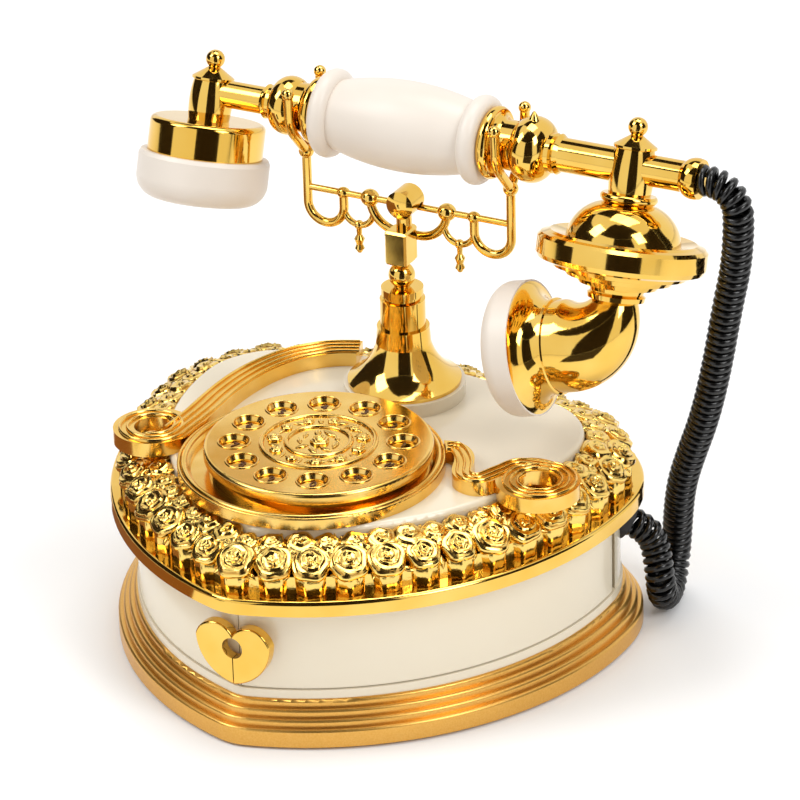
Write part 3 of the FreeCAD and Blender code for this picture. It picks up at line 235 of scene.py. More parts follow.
# %% One function for finishes
def finish(name, tones, rough=None, bump=None, spread=(0.3, 0.7), **inputs):
    """A material from tones (grain, dark, light), rough (grain, low, high) and bump (grain, mm, strength).

    Without a grain, the tones follow the depth of the folds that is kept on the mesh, which paints shade into
    the folds.
    """
    material = bpy.data.materials.new(name)
    material.use_nodes = True
    tree = material.node_tree
    tree.nodes.clear()
    out = add(tree, "ShaderNodeOutputMaterial")
    skin = add(tree, "ShaderNodeBsdfPrincipled")
    tree.links.new(skin.outputs[0], out.inputs[0])
    place = add(tree, "ShaderNodeTexCoord").outputs["Object"]

    def noise(size_mm, detail):
        links = {"Vector": place, "Scale": 1 / (size_mm * MM), "Detail": detail}
        return add(tree, "ShaderNodeTexNoise", links).outputs["Fac"]

    grain, *codes = tones
    if grain:
        factor = noise(*grain)
    else:
        # Painted shade: the tone darkens with the depth of the folds kept on the mesh
        factor = add(tree, "ShaderNodeAttribute", attribute_name="fold_shade").outputs["Fac"]
    ramp = add(tree, "ShaderNodeValToRGB", {"Fac": factor})
    for stop, at, code in zip(ramp.color_ramp.elements, spread, codes):
        stop.position = at
        stop.color = tint(code)
    tree.links.new(ramp.outputs["Color"], skin.inputs["Base Color"])
    if rough:
        grain, low, high = rough
        span = add(tree, "ShaderNodeMapRange", {"Value": noise(*grain), "To Min": low, "To Max": high})
        tree.links.new(span.outputs["Result"], skin.inputs["Roughness"])
    if bump:
        grain, height, strength = bump
        links = {"Height": noise(*grain), "Distance": height * MM, "Strength": strength}
        tree.links.new(add(tree, "ShaderNodeBump", links).outputs[0], skin.inputs["Normal"])
    for key, value in inputs.items():
        skin.inputs[key.replace("_", " ")].default_value = value
    return material


print("finishes can be made")

# %% [markdown]
# Most of the metal is cast zinc with a bright yellow plating, so it mirrors the room with a slight
# ripple. The foot moulding has a satin bronze lacquer.

# %% Metals
# Plated zinc: a mirror with a faint ripple left by polishing by hand
plated_gold = finish("plated_gold", ((22, 2), "#EBBB52", "#F4CC6C"), ((3, 4), 0.05, 0.11),
                     ((9, 2), 0.02, 0.25), Metallic=1.0)

# The same plating on the fine relief, with shade painted into the folds and under the heads: darker where the
# depth kept on the mesh is greater
cast_gold = finish("cast_gold", (None, "#F8D273", "#B0701F"), ((2, 4), 0.1, 0.22),
                   ((1.8, 3), 0.16, 0.6), spread=(0.35, 1.0), Metallic=1.0)

# Flat faces of the dial and the ribbons: the same plating over a lightly brushed skin
brushed_gold = finish("brushed_gold", ((14, 2), "#EDBC55", "#F7D079"), ((1.2, 4), 0.14, 0.22),
                      ((0.9, 2), 0.008, 0.25), Metallic=1.0)

# Sprayed bronze lacquer over a moulded foot: satin, with fine metal flake
satin_bronze = finish("satin_bronze_lacquer", ((0.7, 3), "#DFA850", "#E8B660"), ((6, 3), 0.28, 0.34),
                      ((0.7, 2), 0.004, 0.2), Metallic=0.9)

bright_steel = finish("bright_steel", ((3, 2), "#A9A9AC", "#C4C4C8"), ((1, 2), 0.25, 0.4), Metallic=1.0)
print("metals", plated_gold.name, cast_gold.name, brushed_gold.name, satin_bronze.name, bright_steel.name)

# %% [markdown]
# The white parts are moulded plastic with a warm tone and a soft gloss. The cord is soft and glossy,
# and the plainer plastics are seen only with a tray open or from below.

# %% Plastics and cloth
# Ivory ABS: injection moulded, a soft gloss with very shallow orange peel
ivory_abs = finish("ivory_abs", ((60, 2), "#E6DAC1", "#E9DEC7"), ((12, 3), 0.2, 0.24),
                   ((5, 2), 0.004, 0.15), IOR=1.53, Coat_Weight=0.25, Coat_Roughness=0.08)

# The handset's white parts are a little more matt
white_resin = finish("white_resin", ((30, 2), "#E4D9CC", "#E7DDD1"), ((8, 3), 0.34, 0.42),
                     ((3, 2), 0.004, 0.2), IOR=1.5)

# Soft PVC of the cord: black, glossy, a little dusty
black_pvc = finish("black_pvc", ((5, 2), "#060606", "#0C0B0A"), ((4, 4), 0.18, 0.32),
                   ((1.2, 2), 0.03, 0.3), IOR=1.53)

black_abs = finish("black_abs", ((10, 2), "#151517", "#1F1F22"), ((1, 3), 0.45, 0.6), ((0.8, 2), 0.03, 0.4))
board_green = finish("board_green", ((6, 2), "#12412A", "#1B5A38"), ((3, 2), 0.3, 0.45))

# Brown enamel wiped into the key signs
sign_enamel = finish("sign_enamel", ((2, 2), "#4A2A0C", "#5C3510"), ((2, 2), 0.3, 0.4))

# Pressed felt and flock: fibres finer than a millimetre, drawn at about 1 mm so that they show
grey_felt = finish("grey_felt", ((1, 6), "#2B2825", "#4A4541"), bump=((1, 6), 0.3, 0.6),
                   Sheen_Weight=0.4, Roughness=0.95)
wine_flock = finish("wine_flock", ((1.2, 6), "#4A0E18", "#6E1A28"), bump=((1, 6), 0.25, 0.5),
                    Sheen_Weight=0.7, Roughness=0.9)
print(len(bpy.data.materials), "finishes")

# %% [markdown]
# Each solid that stays in view takes one of these finishes, by what it is made of. The mirror plating
# is for all that aren't listed.

# %% Finishes on the solids
MADE_OF = (
    (ivory_abs, ("sill_plate", "rear_shell", "left_tray", "right_tray", "top_cover")),
    (white_resin, ("grip", "ear_cap", "mouth_ring")),
    (brushed_gold, ("dial_plate", "dial_medallion", "dial_ring", "left_scroll", "right_scroll")),
    (black_abs, ("bottom_plate", "hook_switch", "ringer", "line_jack", "cord_gland", "receiver",
                 "microphone")),
    (bright_steel, ("bottom_screws", "hinge_pins", "tie_rod")),
    (board_green, ("keypad_board", "main_board")),
    (grey_felt, ("felt_pad",)),
    (satin_bronze, ("base_moulding",)),
    (black_pvc, ("handset_cord",)),
)
finish_of = {name: material for material, names in MADE_OF for name in names}
for name, thing in nodes.items():
    thing.data.materials.clear()
    thing.data.materials.append(finish_of.get(name, plated_gold))
print(sum(name not in finish_of for name in nodes), "solids with the mirror plating")

# %% [markdown]
# The cord is one piece from the end of the handset to its gland in the base, and it takes the place of the
# frame's cord.

# %% The cord's piece
curly_cord.data.materials.append(black_pvc)
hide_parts("handset_cord")
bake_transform(curly_cord)
print("cord", round(cord_length / MM), "mm along its line")

# %% [markdown]
# ## The outline of the body
# The garland and the tray linings follow the same line as the body's wall: a blunt tip, two long
# sides, two round shoulders and a nearly flat back, all tangent arcs. An offset moves every arc out.
# From here on, sizes are in mm until a mesh is made.


# %% The outline
LOBE = Vector((48.0, 37.0))
SIDE = Vector((-28.995, 36.091))
BACK = Vector((0.0, -109.328))
TIP_R, SIDE_R, LOBE_R, BACK_R = 13.5, 123, 46, 200
LEAST_TIP_R = 4.0
ARC_STEP = 1.5


def arc_points(centre, r, a0, a1):
    count = max(2, int(abs(a1 - a0) * r / ARC_STEP))
    angles = [a0 + (a1 - a0) * i / count for i in range(count + 1)]
    return [Vector((centre.x + r * math.cos(a), centre.y + r * math.sin(a), 0)) for a in angles]


def outline(out):
    """Closed line, this far outside the wall, from the front tip round by +X."""
    tip_r = max(TIP_R + out, LEAST_TIP_R)
    tip = Vector((0, SIDE.y - math.sqrt((SIDE_R + out - tip_r) ** 2 - SIDE.x ** 2)))
    a_tip = math.atan2(tip.y - SIDE.y, tip.x - SIDE.x)
    a_lobe = math.atan2(LOBE.y - SIDE.y, LOBE.x - SIDE.x)
    a_back = math.atan2(LOBE.y - BACK.y, LOBE.x - BACK.x)
    half = arc_points(tip, tip_r, -math.pi / 2, a_tip) + arc_points(SIDE, SIDE_R + out, a_tip, a_lobe)
    half += arc_points(LOBE, LOBE_R + out, a_lobe, a_back)
    half += arc_points(BACK, BACK_R + out, a_back, math.pi / 2)
    return half + [Vector((-p.x, p.y, 0)) for p in reversed(half[1:-1])]


def at_height(line, z):
    return [Vector((p.x, p.y, z)) for p in line]


def wire_object(name, lines):
    """Edges only, from lists of points; a list with a true flag is closed."""
    points, edges = [], []
    for line, closed in lines:
        base = len(points)
        points += [tuple(v * MM for v in p) for p in line]
        edges += [(base + i, base + i + 1) for i in range(len(line) - 1)]
        if closed:
            edges.append((base + len(line) - 1, base))
    mesh = bpy.data.meshes.new(name)
    mesh.from_pydata(points, edges, [])
    made = bpy.data.objects.new(name, mesh)
    scene.collection.objects.link(made)
    return made


print("outline", len(outline(0)), "points")

# %% [markdown]
# ## A cast rose
# A rose of this kind is a dome cut by a spiral step: each turn of the step is the lip of a petal. The
# head leans outwards, and under it a lobed drum drops straight down, as castings from a two-part
# mould do. The depth of the folds is kept as an attribute, and the finish paints shade into the folds
# and under the head by it. All pieces are about one unit in radius here, and the rows give them their size.


# %% Points of a rose
ROSE_LOBES, ROSE_LOBE_DEPTH = 5, 0.05
DOME_H, DOME_FALL = 0.5, 0.92
LIP_H, LIP_CURVE = 0.17, 1.6
LIP_RAMP, FOLD_RAMP = 5, 3
PETALS, PETAL_TWIST, PETAL_SHARE = 4, 7, 0.4
# The third number of each underside ring is painted shade, darkest under the head
ROSE_UNDERSIDE = ((1.02, 0.02, 0.1), (0.9, -0.28, 0.8), (0.5, -0.4, 1.0))


def piece_mesh(name, points, faces, folds):
    """A plain piece to be set out in rows; it isn't shown by itself."""
    mesh = bpy.data.meshes.new(name)
    mesh.from_pydata(points, [], faces)
    # The attribute holds painted shade for the folds, 0 for none and 1 for darkest
    mesh.attributes.new("fold_shade", "FLOAT", "POINT").data.foreach_set("value", folds)
    work = bmesh.new()
    work.from_mesh(mesh)
    bmesh.ops.recalc_face_normals(work, faces=work.faces)
    work.to_mesh(mesh)
    work.free()
    mesh.polygons.foreach_set("use_smooth", [True] * len(mesh.polygons))
    return bpy.data.objects.new(name, mesh)


def ring_faces(rings, around):
    """Quads between rings of points, and a cap on the last one."""
    faces = []
    for i in range(rings - 1):
        for j in range(around):
            k = (j + 1) % around
            faces.append((i * around + j, (i + 1) * around + j, (i + 1) * around + k, i * around + k))
    return faces + [tuple(range((rings - 1) * around, rings * around))]


def lobed_rings(levels, around, lobes, depth):
    """Rings of points from rows of radius, height and fold, with shallow lobes round them."""
    points, folds = [], []
    for r, z, dark in levels:
        for j in range(around):
            a = FULL_TURN * j / around
            reach = r * (1 + depth * math.cos(lobes * a))
            points.append((reach * math.cos(a), reach * math.sin(a), z))
            folds.append(dark)
    return points, folds


def rose(name, rings, around, turns):
    points, folds = [], []
    for i in range(rings + 1):
        r = i / rings
        dome = DOME_H * math.sqrt(max(0.0, 1 - DOME_FALL * r * r))
        for j in range(around):
            a = FULL_TURN * j / around
            turn_at = turns * r - a / FULL_TURN
            lip = turn_at - math.floor(turn_at)
            petal = 0.5 + 0.5 * math.cos(PETALS * a + PETAL_TWIST * r)
            reach = r * (1 + ROSE_LOBE_DEPTH * r * math.cos(ROSE_LOBES * a))
            swell = 1 - PETAL_SHARE + PETAL_SHARE * petal
            rise = LIP_H * lip ** LIP_CURVE * swell * min(1, r * LIP_RAMP)
            points.append((reach * math.cos(a), reach * math.sin(a), dome + rise))
            # Painted shade, darkest at the foot of each step under a petal's lip and none at the very middle
            folds.append((1 - lip) ** 2 * min(1, r * FOLD_RAMP))
    low_points, low_folds = lobed_rings(ROSE_UNDERSIDE, around, ROSE_LOBES, ROSE_LOBE_DEPTH)
    levels = rings + 1 + len(ROSE_UNDERSIDE)
    return piece_mesh(name, points + low_points, ring_faces(levels, around), folds + low_folds)


big_rose = rose("big_rose", rings=22, around=40, turns=3.4)
small_rose = rose("small_rose", rings=10, around=24, turns=1.9)
print("rose faces", len(big_rose.data.polygons), len(small_rose.data.polygons))

# %% [markdown]
# The drum under a rose, a pointed leaf with a sunk middle rib, and a slanted bead for ropes are made
# in the same way.


# %% Drum, leaf and bead
# The third number of each ring is painted shade, darker under the rose and at the drum's foot
DRUM_LEVELS = ((0.5, 0.0, 0.6), (0.9, -0.02, 0.4), (0.98, -0.1, 0.1), (0.95, -1.8, 0.8))
DRUM_AROUND, DRUM_LOBES, DRUM_LOBE_DEPTH = 28, 7, 0.06
LEAF_ROWS = 9
LEAF_HALF, LEAF_POINT = 0.42, 1.8
BEAD_SCALE = (1.5, 0.75, 0.9, 1)
BEAD_SLANT = math.radians(35)


def leaf(name):
    points, folds = [], []
    for i in range(LEAF_ROWS):
        x = 2 * i / (LEAF_ROWS - 1) - 1
        half = LEAF_HALF * (1 - abs(x) ** LEAF_POINT)
        crest = 0.3 * half + 0.1
        # The third number in the section is painted shade: darker at the edges, in the sunk rib and under the
        # leaf
        section = ((-half, 0.0, 0.6), (-half * 0.5, crest, 0.0), (0, 0.1, 0.8),
                   (half * 0.5, crest, 0.0), (half, 0.0, 0.6), (0, -0.2, 1.0))
        points += [(x, y, z) for y, z, dark in section]
        folds += [dark for y, z, dark in section]
    return piece_mesh(name, points, ring_faces(LEAF_ROWS, len(section)), folds)


points, folds = lobed_rings(DRUM_LEVELS, DRUM_AROUND, DRUM_LOBES, DRUM_LOBE_DEPTH)
rose_drum = piece_mesh("rose_drum", points, ring_faces(len(DRUM_LEVELS), DRUM_AROUND), folds)
small_leaf = leaf("small_leaf")
bead_mesh = bpy.data.meshes.new("bead")
work = bmesh.new()
bmesh.ops.create_icosphere(work, subdivisions=2, radius=1.0)
work.to_mesh(bead_mesh)
work.free()
bead_mesh.transform(Matrix.Rotation(BEAD_SLANT, 4, "Z") @ Matrix.Diagonal(BEAD_SCALE))
bead_mesh.polygons.foreach_set("use_smooth", [True] * len(bead_mesh.polygons))
bead = bpy.data.objects.new("bead", bead_mesh)
print("drum, leaf and bead", [len(p.data.polygons) for p in (rose_drum, small_leaf, bead)], "faces")

# %% [markdown]
# ## Rows along a line
# One node tree sets copies of a piece along any line at an even pitch. Each copy faces along the line,
# leans outwards by one angle, and is turned and sized a little differently by a fixed seed.


# %% Node tree for rows
def tree_with(name, **inputs):
    """A geometry tree with these inputs; also its input sockets and its output node."""
    tree = bpy.data.node_groups.new(name, "GeometryNodeTree")
    tree.interface.new_socket("Geometry", in_out="OUTPUT", socket_type="NodeSocketGeometry")
    for label, kind in inputs.items():
        tree.interface.new_socket(label, in_out="INPUT", socket_type="NodeSocket" + kind)
    return tree, add(tree, "NodeGroupInput").outputs, add(tree, "NodeGroupOutput")


row_tree, given, result = tree_with(
    "row_of_pieces", Line="Geometry", Piece="Object", Count="Int", Size="Float", Vary="Float", Lean="Float",
    Spin="Float", Seed="Int", Finish="Material")


def row_node(kind, links, output=0, **settings):
    return add(row_tree, kind, links, **settings).outputs[output]


curve = row_node("GeometryNodeMeshToCurve", {"Mesh": given["Line"]})
even = row_node("GeometryNodeResampleCurve", {"Curve": curve, "Count": given["Count"]}, mode="COUNT")
piece_in = row_node("GeometryNodeObjectInfo", {"Object": given["Piece"]}, "Geometry")
spin = row_node("FunctionNodeRandomValue", {"Max": given["Spin"], "Seed": given["Seed"]}, "Value",
                data_type="FLOAT")
low = row_node("ShaderNodeMath", {0: 1.0, 1: given["Vary"]}, operation="SUBTRACT")
high = row_node("ShaderNodeMath", {0: 1.0, 1: given["Vary"]}, operation="ADD")
vary = row_node("FunctionNodeRandomValue", {"Min": low, "Max": high, "Seed": given["Seed"]}, "Value",
                data_type="FLOAT")
size = row_node("ShaderNodeMath", {0: given["Size"], 1: vary}, operation="MULTIPLY")
along = row_node("GeometryNodeInputTangent", {})
faced = row_node("FunctionNodeAlignRotationToVector", {"Vector": along}, axis="X", pivot_axis="Z")
tipped = row_node("ShaderNodeCombineXYZ", {"X": given["Lean"]})
tipped = row_node("FunctionNodeEulerToRotation", {0: tipped})
spun = row_node("ShaderNodeCombineXYZ", {"Z": spin})
spun = row_node("FunctionNodeEulerToRotation", {0: spun})
leant = row_node("FunctionNodeRotateRotation", {0: faced, 1: tipped}, rotation_space="LOCAL")
placed = row_node("FunctionNodeRotateRotation", {0: leant, 1: spun}, rotation_space="LOCAL")
row = row_node("GeometryNodeInstanceOnPoints",
               {"Points": even, "Instance": piece_in, "Rotation": placed, "Scale": size})
real = row_node("GeometryNodeRealizeInstances", {"Geometry": row})
done = row_node("GeometryNodeSetMaterial", {"Geometry": real, "Material": given["Finish"]})
row_tree.links.new(done, result.inputs[0])
print(row_tree.name, len(row_tree.nodes), "nodes")

# %% [markdown]
# A second tree gives a line a round section, or one pressed flat, for bands and rolled edges.

# %% Node tree for reeds
REED_SIDES = 12
reed_tree, given, result = tree_with("reed", Line="Geometry", Radius="Float", Flat="Float", Finish="Material")
curve = add(reed_tree, "GeometryNodeMeshToCurve", {"Mesh": given["Line"]}).outputs[0]
curve = add(reed_tree, "GeometryNodeSetCurveNormal", {"Curve": curve}, mode="Z_UP").outputs[0]
ring = add(reed_tree, "GeometryNodeCurvePrimitiveCircle",
           {"Resolution": REED_SIDES, "Radius": given["Radius"]}).outputs[0]
pressed = add(reed_tree, "ShaderNodeCombineXYZ", {"X": given["Flat"], "Y": 1.0, "Z": 1.0}).outputs[0]
ring = add(reed_tree, "GeometryNodeTransform", {"Geometry": ring, "Scale": pressed}).outputs[0]
skin_of = add(reed_tree, "GeometryNodeCurveToMesh",
              {"Curve": curve, "Profile Curve": ring, "Fill Caps": True}).outputs[0]
soft = add(reed_tree, "GeometryNodeSetShadeSmooth", {"Geometry": skin_of}).outputs[0]
done = add(reed_tree, "GeometryNodeSetMaterial", {"Geometry": soft, "Material": given["Finish"]}).outputs[0]
reed_tree.links.new(done, result.inputs[0])


def grown(name, lines, tree, **inputs):
    """Run a tree on lines and keep the result as a plain mesh."""
    source = wire_object(name + "_line", lines)
    modifier = source.modifiers.new("grow", "NODES")
    modifier.node_group = tree
    for item in tree.interface.items_tree:
        if item.in_out == "INPUT" and item.name in inputs:
            modifier[item.identifier] = inputs[item.name]
    mesh = bpy.data.meshes.new_from_object(source.evaluated_get(bpy.context.evaluated_depsgraph_get()))
    mesh.name = name
    bpy.data.objects.remove(source)
    made = bpy.data.objects.new(name, mesh)
    scene.collection.objects.link(made)
    print(name, len(mesh.polygons), "faces")
    return made


print(reed_tree.name, len(reed_tree.nodes), "nodes")

# %% [markdown]
# ## The rose garland
# Two rows of roses stand on the rim: large ones outside, smaller ones higher up against the cover, with
# buds and leaves in the gaps.


# %% The garland
def row_piece(name, line, piece, count, size, lean, seed, vary, spin=FULL_TURN):
    """Copies of a piece along a closed line: size in mm, lean in degrees, vary as a share of the size."""
    row = grown(name, [(line, True)], row_tree, Piece=piece, Count=count, Size=size * MM, Vary=vary,
                Lean=math.radians(lean), Spin=spin, Seed=seed, Finish=cast_gold)
    return finish_piece(row, "base", cast_gold)


def garland_row(name, out, z, piece, **how):
    return row_piece(name, at_height(outline(out), z), piece, **how)


ROSES = 41
big_row = garland_row("big_roses", -0.9, 72.8, big_rose, count=ROSES, size=7.0, lean=30, seed=3, vary=0.1)
garland_row("rose_drums", -1.4, 71.4, rose_drum, count=ROSES, size=6.5, lean=0, seed=4, vary=0.03)
garland_row("high_roses", -8.4, 76.6, small_rose, count=52, size=5.3, lean=18, seed=8, vary=0.16)
garland_row("middle_buds", -5.2, 75.4, small_rose, count=82, size=3.5, lean=26, seed=11, vary=0.26)
garland_row("inner_leaves", -10.6, 78.0, small_leaf, count=96, size=3.6, lean=10, seed=17, vary=0.2)
garland_row("outer_leaves", 2.0, 69.4, small_leaf, count=90, size=3.2, lean=35, seed=19, vary=0.2)

# %% [markdown]
# A stepped bed closes the spaces between the flowers. Its section is given as offsets from the wall and
# heights, and runs round the outline.

# %% The bed of the garland
RIM_TOP = 62.5
BED_SECTION = ((2.0, RIM_TOP), (1.6, 69.0), (-5.0, 70.6), (-5.5, 73.0), (-13.1, 76.4), (-13.1, RIM_TOP))
BED_POINTS = 420
points, faces = [], []
for i, (out, z) in enumerate(BED_SECTION):
    loop = at_height(outline(out), z)
    points += [p * MM for p in even_points(loop + loop[:1], BED_POINTS + 1)[:-1]]
    here, there = i * BED_POINTS, (i + 1) % len(BED_SECTION) * BED_POINTS
    for k in range(BED_POINTS):
        m = (k + 1) % BED_POINTS
        faces.append((here + k, here + m, there + m, there + k))
garland_bed = solid("garland_bed", points, faces, smooth=False)
finish_piece(garland_bed, "base", cast_gold)
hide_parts("rose_garland")
print("bed", len(garland_bed.data.polygons), "faces")

# %% [markdown]
# ## Reeded scrolls
# The flat ribbons carry low bands along their length, and a band winds into each volute as a spiral.


# %% Scrolls
SCROLL_TOP = 87.0
LEFT_LINE = [(-59, -24), (-58.6, -4), (-59.2, 15), (-57.4, 33), (-51, 51), (-41, 63), (-29, 69.2)]
RIGHT_LINE = [(41.4, 7.4), (45, 8), (52, 0), (57, -10), (63, -11), (67.5, -2), (72, 6.5), (84, 8.6)]
LINE_STEPS = 10
SPIRAL_STEPS = 160
VOLUTE_INNER_R = 7.4
BAND_SHARE, BAND_FLAT = 0.47, 0.5


def smooth_line(points):
    """Points on a curve that passes through each given point."""
    ends = [points[0]] + points + [points[-1]]
    result = []
    for p0, p1, p2, p3 in zip(ends, ends[1:], ends[2:], ends[3:]):
        for i in range(LINE_STEPS):
            t = i / LINE_STEPS
            result.append(0.5 * ((2 * p1) + (p2 - p0) * t + (2 * p0 - 5 * p1 + 4 * p2 - p3) * t * t
                                 + (3 * p1 - p0 - 3 * p2 + p3) * t ** 3))
    return result + [points[-1]]


def shifted(line, side):
    ways = [heading(line, i) for i in range(len(line))]
    return [p + Vector((-way.y, way.x, 0)) * side for p, way in zip(line, ways)]


def scroll_reeds(name, line, width, bands, centre, r, start):
    """Flat bands side by side along the ribbon, and one that winds into its volute."""
    band = width / bands
    middle = smooth_line([Vector((x, y, SCROLL_TOP)) for x, y in line])
    lines = [(shifted(middle, band * (i - (bands - 1) / 2)), False) for i in range(bands)]
    outer = r - band / 2
    turns = (outer - VOLUTE_INNER_R) / band
    spiral = []
    for i in range(SPIRAL_STEPS + 1):
        a = math.radians(start) - i / SPIRAL_STEPS * turns * FULL_TURN
        reach = outer + (VOLUTE_INNER_R - outer) * i / SPIRAL_STEPS
        spiral.append(Vector((centre[0] + reach * math.cos(a), centre[1] + reach * math.sin(a), SCROLL_TOP)))
    lines.append((spiral, False))
    reeds = grown(name, lines, reed_tree, Radius=BAND_SHARE * band * MM, Flat=BAND_FLAT, Finish=brushed_gold)
    finish_piece(reeds, "base", brushed_gold)


scroll_reeds("left_scroll_reeds", LEFT_LINE, width=11.6, bands=4, centre=(-68.5, -24), r=15.3, start=0)
scroll_reeds("right_scroll_reeds", RIGHT_LINE, width=7.6, bands=3, centre=(84, -3), r=15.8, start=90)

# %% [markdown]
# ## Dial details
# Every finger hole has a rolled edge, and the medallion a wreath between two beaded rings.

# %% Dial
DIAL = Vector((0, -18.0, 92.3))
KEYS = ("1", "2", "3", "4", "5", "6", "7", "8", "9", "0", "star", "hash")
KEY_RING_R = 31.7
FIRST_KEY, KEY_STEP = 24.5, 30
HOLE_R, EDGE_R = 6.1, 0.45
HOLE_POINTS, ROW_POINTS = 40, 96


def circle_line(centre, r, count):
    angles = [FULL_TURN * i / count for i in range(count)]
    return [centre + Vector((r * math.cos(a), r * math.sin(a), 0)) for a in angles]


def dial_row(name, r, piece, **how):
    row_piece(name, circle_line(DIAL, r, ROW_POINTS), piece, lean=0, **how)


key_angles = [math.radians(FIRST_KEY + KEY_STEP * i) for i in range(len(KEYS))]
key_places = [DIAL + Vector((KEY_RING_R * math.cos(a), KEY_RING_R * math.sin(a), 0)) for a in key_angles]
hole_edges = grown("hole_edges", [(circle_line(p, HOLE_R, HOLE_POINTS), True) for p in key_places], reed_tree,
                   Radius=EDGE_R * MM, Flat=1.0, Finish=brushed_gold)
finish_piece(hole_edges, "base", brushed_gold)
dial_row("outer_rope", 21.4, bead, count=44, size=1.0, seed=1, vary=0.04, spin=0.0)
dial_row("inner_rope", 12.2, bead, count=26, size=0.95, seed=1, vary=0.04, spin=0.0)
dial_row("wreath_flowers", 16.9, small_rose, count=11, size=2.5, seed=21, vary=0.2)
dial_row("wreath_leaves", 16.6, small_leaf, count=25, size=2.4, seed=5, vary=0.25)
dial_row("centre_leaves", 7.2, small_leaf, count=9, size=3.1, seed=9, vary=0.2)
dial_row("centre_flower", 0.6, big_rose, count=1, size=3.6, seed=2, vary=0.0, spin=0.0)

# %% [markdown]
# Every key has a raised sign. The signs are plain figures, upright to someone who faces the phone, and
# each rides on its own key.

# %% Key signs
SIGNS = {"star": "*", "hash": "#"}
SIGN_SIZE, STAR_SIZE = 5.2, 7.4
SIGN_RISE = 0.35
KEY_TOP = 90.6
for name, place in zip(KEYS, key_places):
    letters = bpy.data.curves.new("sign", "FONT")
    letters.body = SIGNS.get(name, name)
    letters.size = (STAR_SIZE if name == "star" else SIGN_SIZE) * MM
    letters.align_x = "CENTER"
    letters.align_y = "CENTER"
    letters.extrude = SIGN_RISE * MM
    holder = bpy.data.objects.new("sign", letters)
    scene.collection.objects.link(holder)
    bpy.context.view_layer.update()
    mesh = bpy.data.meshes.new_from_object(holder.evaluated_get(bpy.context.evaluated_depsgraph_get()))
    bpy.data.objects.remove(holder)
    mesh.transform(Matrix.Translation((place.x * MM, place.y * MM, KEY_TOP * MM)))
    sign = bpy.data.objects.new("key_sign_" + name, mesh)
    scene.collection.objects.link(sign)
    finish_piece(sign, "key_%s_body" % name, sign_enamel)
print(len(KEYS), "key signs")

# %% [markdown]
# ## Tray linings
# Each tray has a thin flocked lining on its floor, cut to the outline inside the tray's walls.

# %% Linings
LINING_INSET = 3.3
LINING_MIDDLE = 3.6
LINING_BACK = 27.6
LINING_CORNER = 2
LINING_FACES = (23.45, 24.2)
for side, body in ((1, "right_tray_body"), (-1, "left_tray_body")):
    middle = LINING_MIDDLE * side
    inside = [p for p in outline(-LINING_INSET) if p.x * side > LINING_MIDDLE and p.y < LINING_BACK]
    inside.sort(key=lambda p: p.y)
    shape = [Vector((middle, inside[0].y + LINING_CORNER, 0))] + inside
    shape += [Vector((inside[-1].x, LINING_BACK, 0)), Vector((middle, LINING_BACK, 0))]
    count = len(shape)
    points = [Vector((p.x, p.y, z)) * MM for z in LINING_FACES for p in shape]
    faces = [tuple(range(count)), tuple(range(count, 2 * count))]
    faces += [(i, (i + 1) % count, count + (i + 1) % count, count + i) for i in range(count)]
    lining = solid("tray_lining_" + body[0], points, faces, smooth=False)
    finish_piece(lining, body, wine_flock)
print("linings done")

# %% [markdown]
# ## Floor, light and surroundings
# A pale table and a white surround, with three soft lamps. The surround is brighter to the eye and in
# reflections than in the light that it gives. From here on, sizes are in metres.

# %% Floor and light
TABLE_HALF = 4
ROOM_LIGHT, ROOM_SEEN = 0.62, 1.0
table = solid("table", [(x * TABLE_HALF, y * TABLE_HALF, 0) for x, y in ((-1, -1), (1, -1), (1, 1), (-1, 1))],
              [(0, 1, 2, 3)])
table.data.materials.append(finish("table_paint", ((300, 2), "#F8F8F8", "#FBFBFB"), Roughness=0.9))

world = bpy.data.worlds.new("white_room")
scene.world = world
world.use_nodes = True
tree = world.node_tree
tree.nodes.clear()
rays = add(tree, "ShaderNodeLightPath").outputs
seen = add(tree, "ShaderNodeMath", {0: rays["Is Camera Ray"], 1: rays["Is Glossy Ray"]}, operation="MAXIMUM")
seen = add(tree, "ShaderNodeMath", {0: seen.outputs[0], 1: rays["Is Transmission Ray"]}, operation="MAXIMUM")
room = add(tree, "ShaderNodeBackground", {"Color": tint("#FFFFFF"), "Strength": ROOM_LIGHT})
shown = add(tree, "ShaderNodeBackground", {"Color": tint("#FFFFFF"), "Strength": ROOM_SEEN})
mixed = add(tree, "ShaderNodeMixShader", {0: seen.outputs[0], 1: room.outputs[0], 2: shown.outputs[0]})
surround = add(tree, "ShaderNodeOutputWorld")
tree.links.new(mixed.outputs[0], surround.inputs[0])


def lamp(name, place, aim, size, power):
    made = bpy.data.objects.new(name, bpy.data.lights.new(name, "AREA"))
    made.data.shape = "RECTANGLE"
    made.data.size, made.data.size_y = size
    made.data.energy = power
    made.location = place
    made.rotation_euler = (Vector(aim) - Vector(place)).to_track_quat("-Z", "Y").to_euler()
    scene.collection.objects.link(made)


lamp("left_softbox", (-1.35, -1.0, 1.9), aim=(0, 0, 0.1), size=(0.9, 1.2), power=18)
lamp("right_softbox", (1.9, -0.6, 1.8), aim=(0, 0, 0.1), size=(0.8, 1.2), power=20)
lamp("top_softbox", (0.1, 0.5, 2.3), aim=(0, 0, 0), size=(1.4, 1.0), power=18)
scene.view_settings.view_transform = "Standard"
print("floor and lamps set")

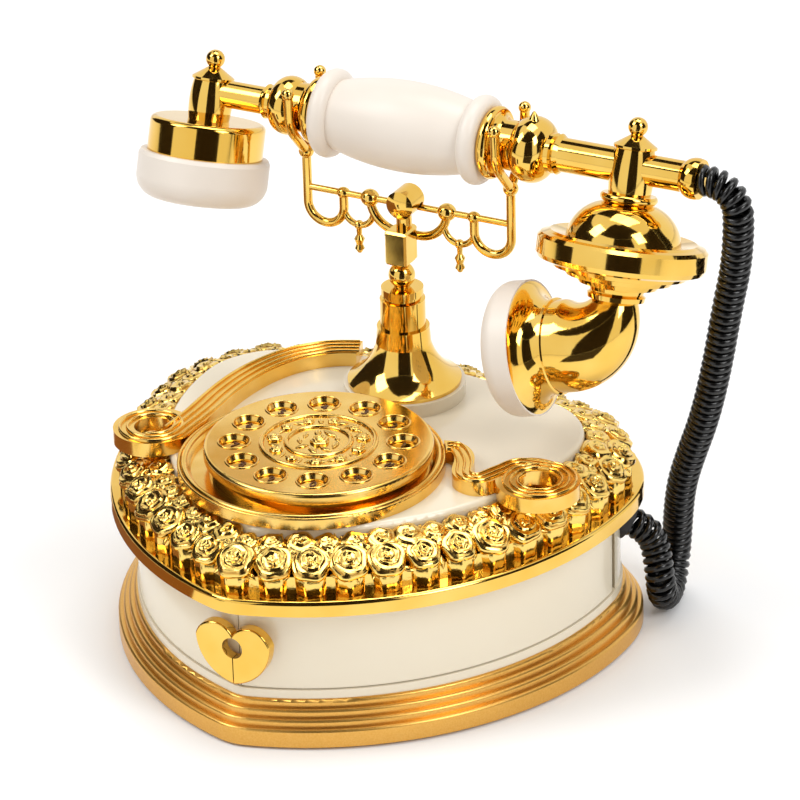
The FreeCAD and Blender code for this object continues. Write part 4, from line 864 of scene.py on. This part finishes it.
# %% [markdown]
# Bright plating needs something dark to mirror, or it looks flat. Dark flags stand round the stage, hang
# above it and lie on the floor, with a brown one on the left for the foot. Only reflections see them.

# %% Flags
WALL_R = 2.6
CEILING_Z = 2.6
CEILING_HOLE_R = 0.3
WALL_FOOT_Z = 0.01
FLAG_LIFT = 0.004
FLAG_STEPS = 8

# Angles in degrees round the stage; on the floor, also the near and the far radius
WALL_FLAGS = ((150, 226), (276, 322), (346, 392))
CEILING_FLAGS = ((235, 352), (85, 150))
FLOOR_FLAGS = ((276, 322, 0.35, 2.5), (236, 246, 0.24, 0.6))
WARM_FLAGS = ((165, 228, 0.12, 0.7),)


def patch(inner, outer, a0, a1):
    """Strip between two (radius, height) rims, from one angle to another."""
    angles = [math.radians(a0 + (a1 - a0) * i / FLAG_STEPS) for i in range(FLAG_STEPS + 1)]
    corners = [(r * math.cos(a), r * math.sin(a), z) for r, z in (inner, outer) for a in angles]
    rim = len(angles)
    return corners, [(i, i + 1, i + rim + 1, i + rim) for i in range(FLAG_STEPS)]


def floor_patches(flags):
    return [patch((near, FLAG_LIFT), (far, FLAG_LIFT), a0, a1) for a0, a1, near, far in flags]


def hang_flags(name, patches, dark, light):
    """Panels that only mirror-like surfaces see."""
    points, faces = [], []
    for corners, quads in patches:
        faces += [tuple(len(points) + i for i in quad) for quad in quads]
        points += corners
    flags = solid(name, points, faces)
    flags.data.materials.append(finish(name + "_paint", ((200, 2), dark, light), Roughness=1.0))
    flags.visible_camera = False
    flags.visible_diffuse = False
    flags.visible_shadow = False


panels = [patch((WALL_R, WALL_FOOT_Z), (WALL_R, CEILING_Z), *span) for span in WALL_FLAGS]
panels += [patch((CEILING_HOLE_R, CEILING_Z), (WALL_R, CEILING_Z), *span) for span in CEILING_FLAGS]
hang_flags("dark_flags", panels + floor_patches(FLOOR_FLAGS), "#1A1208", "#2A1C0C")
hang_flags("warm_flags", floor_patches(WARM_FLAGS), "#7A4E2A", "#85572F")
print(len(panels), "flags on walls and ceiling")
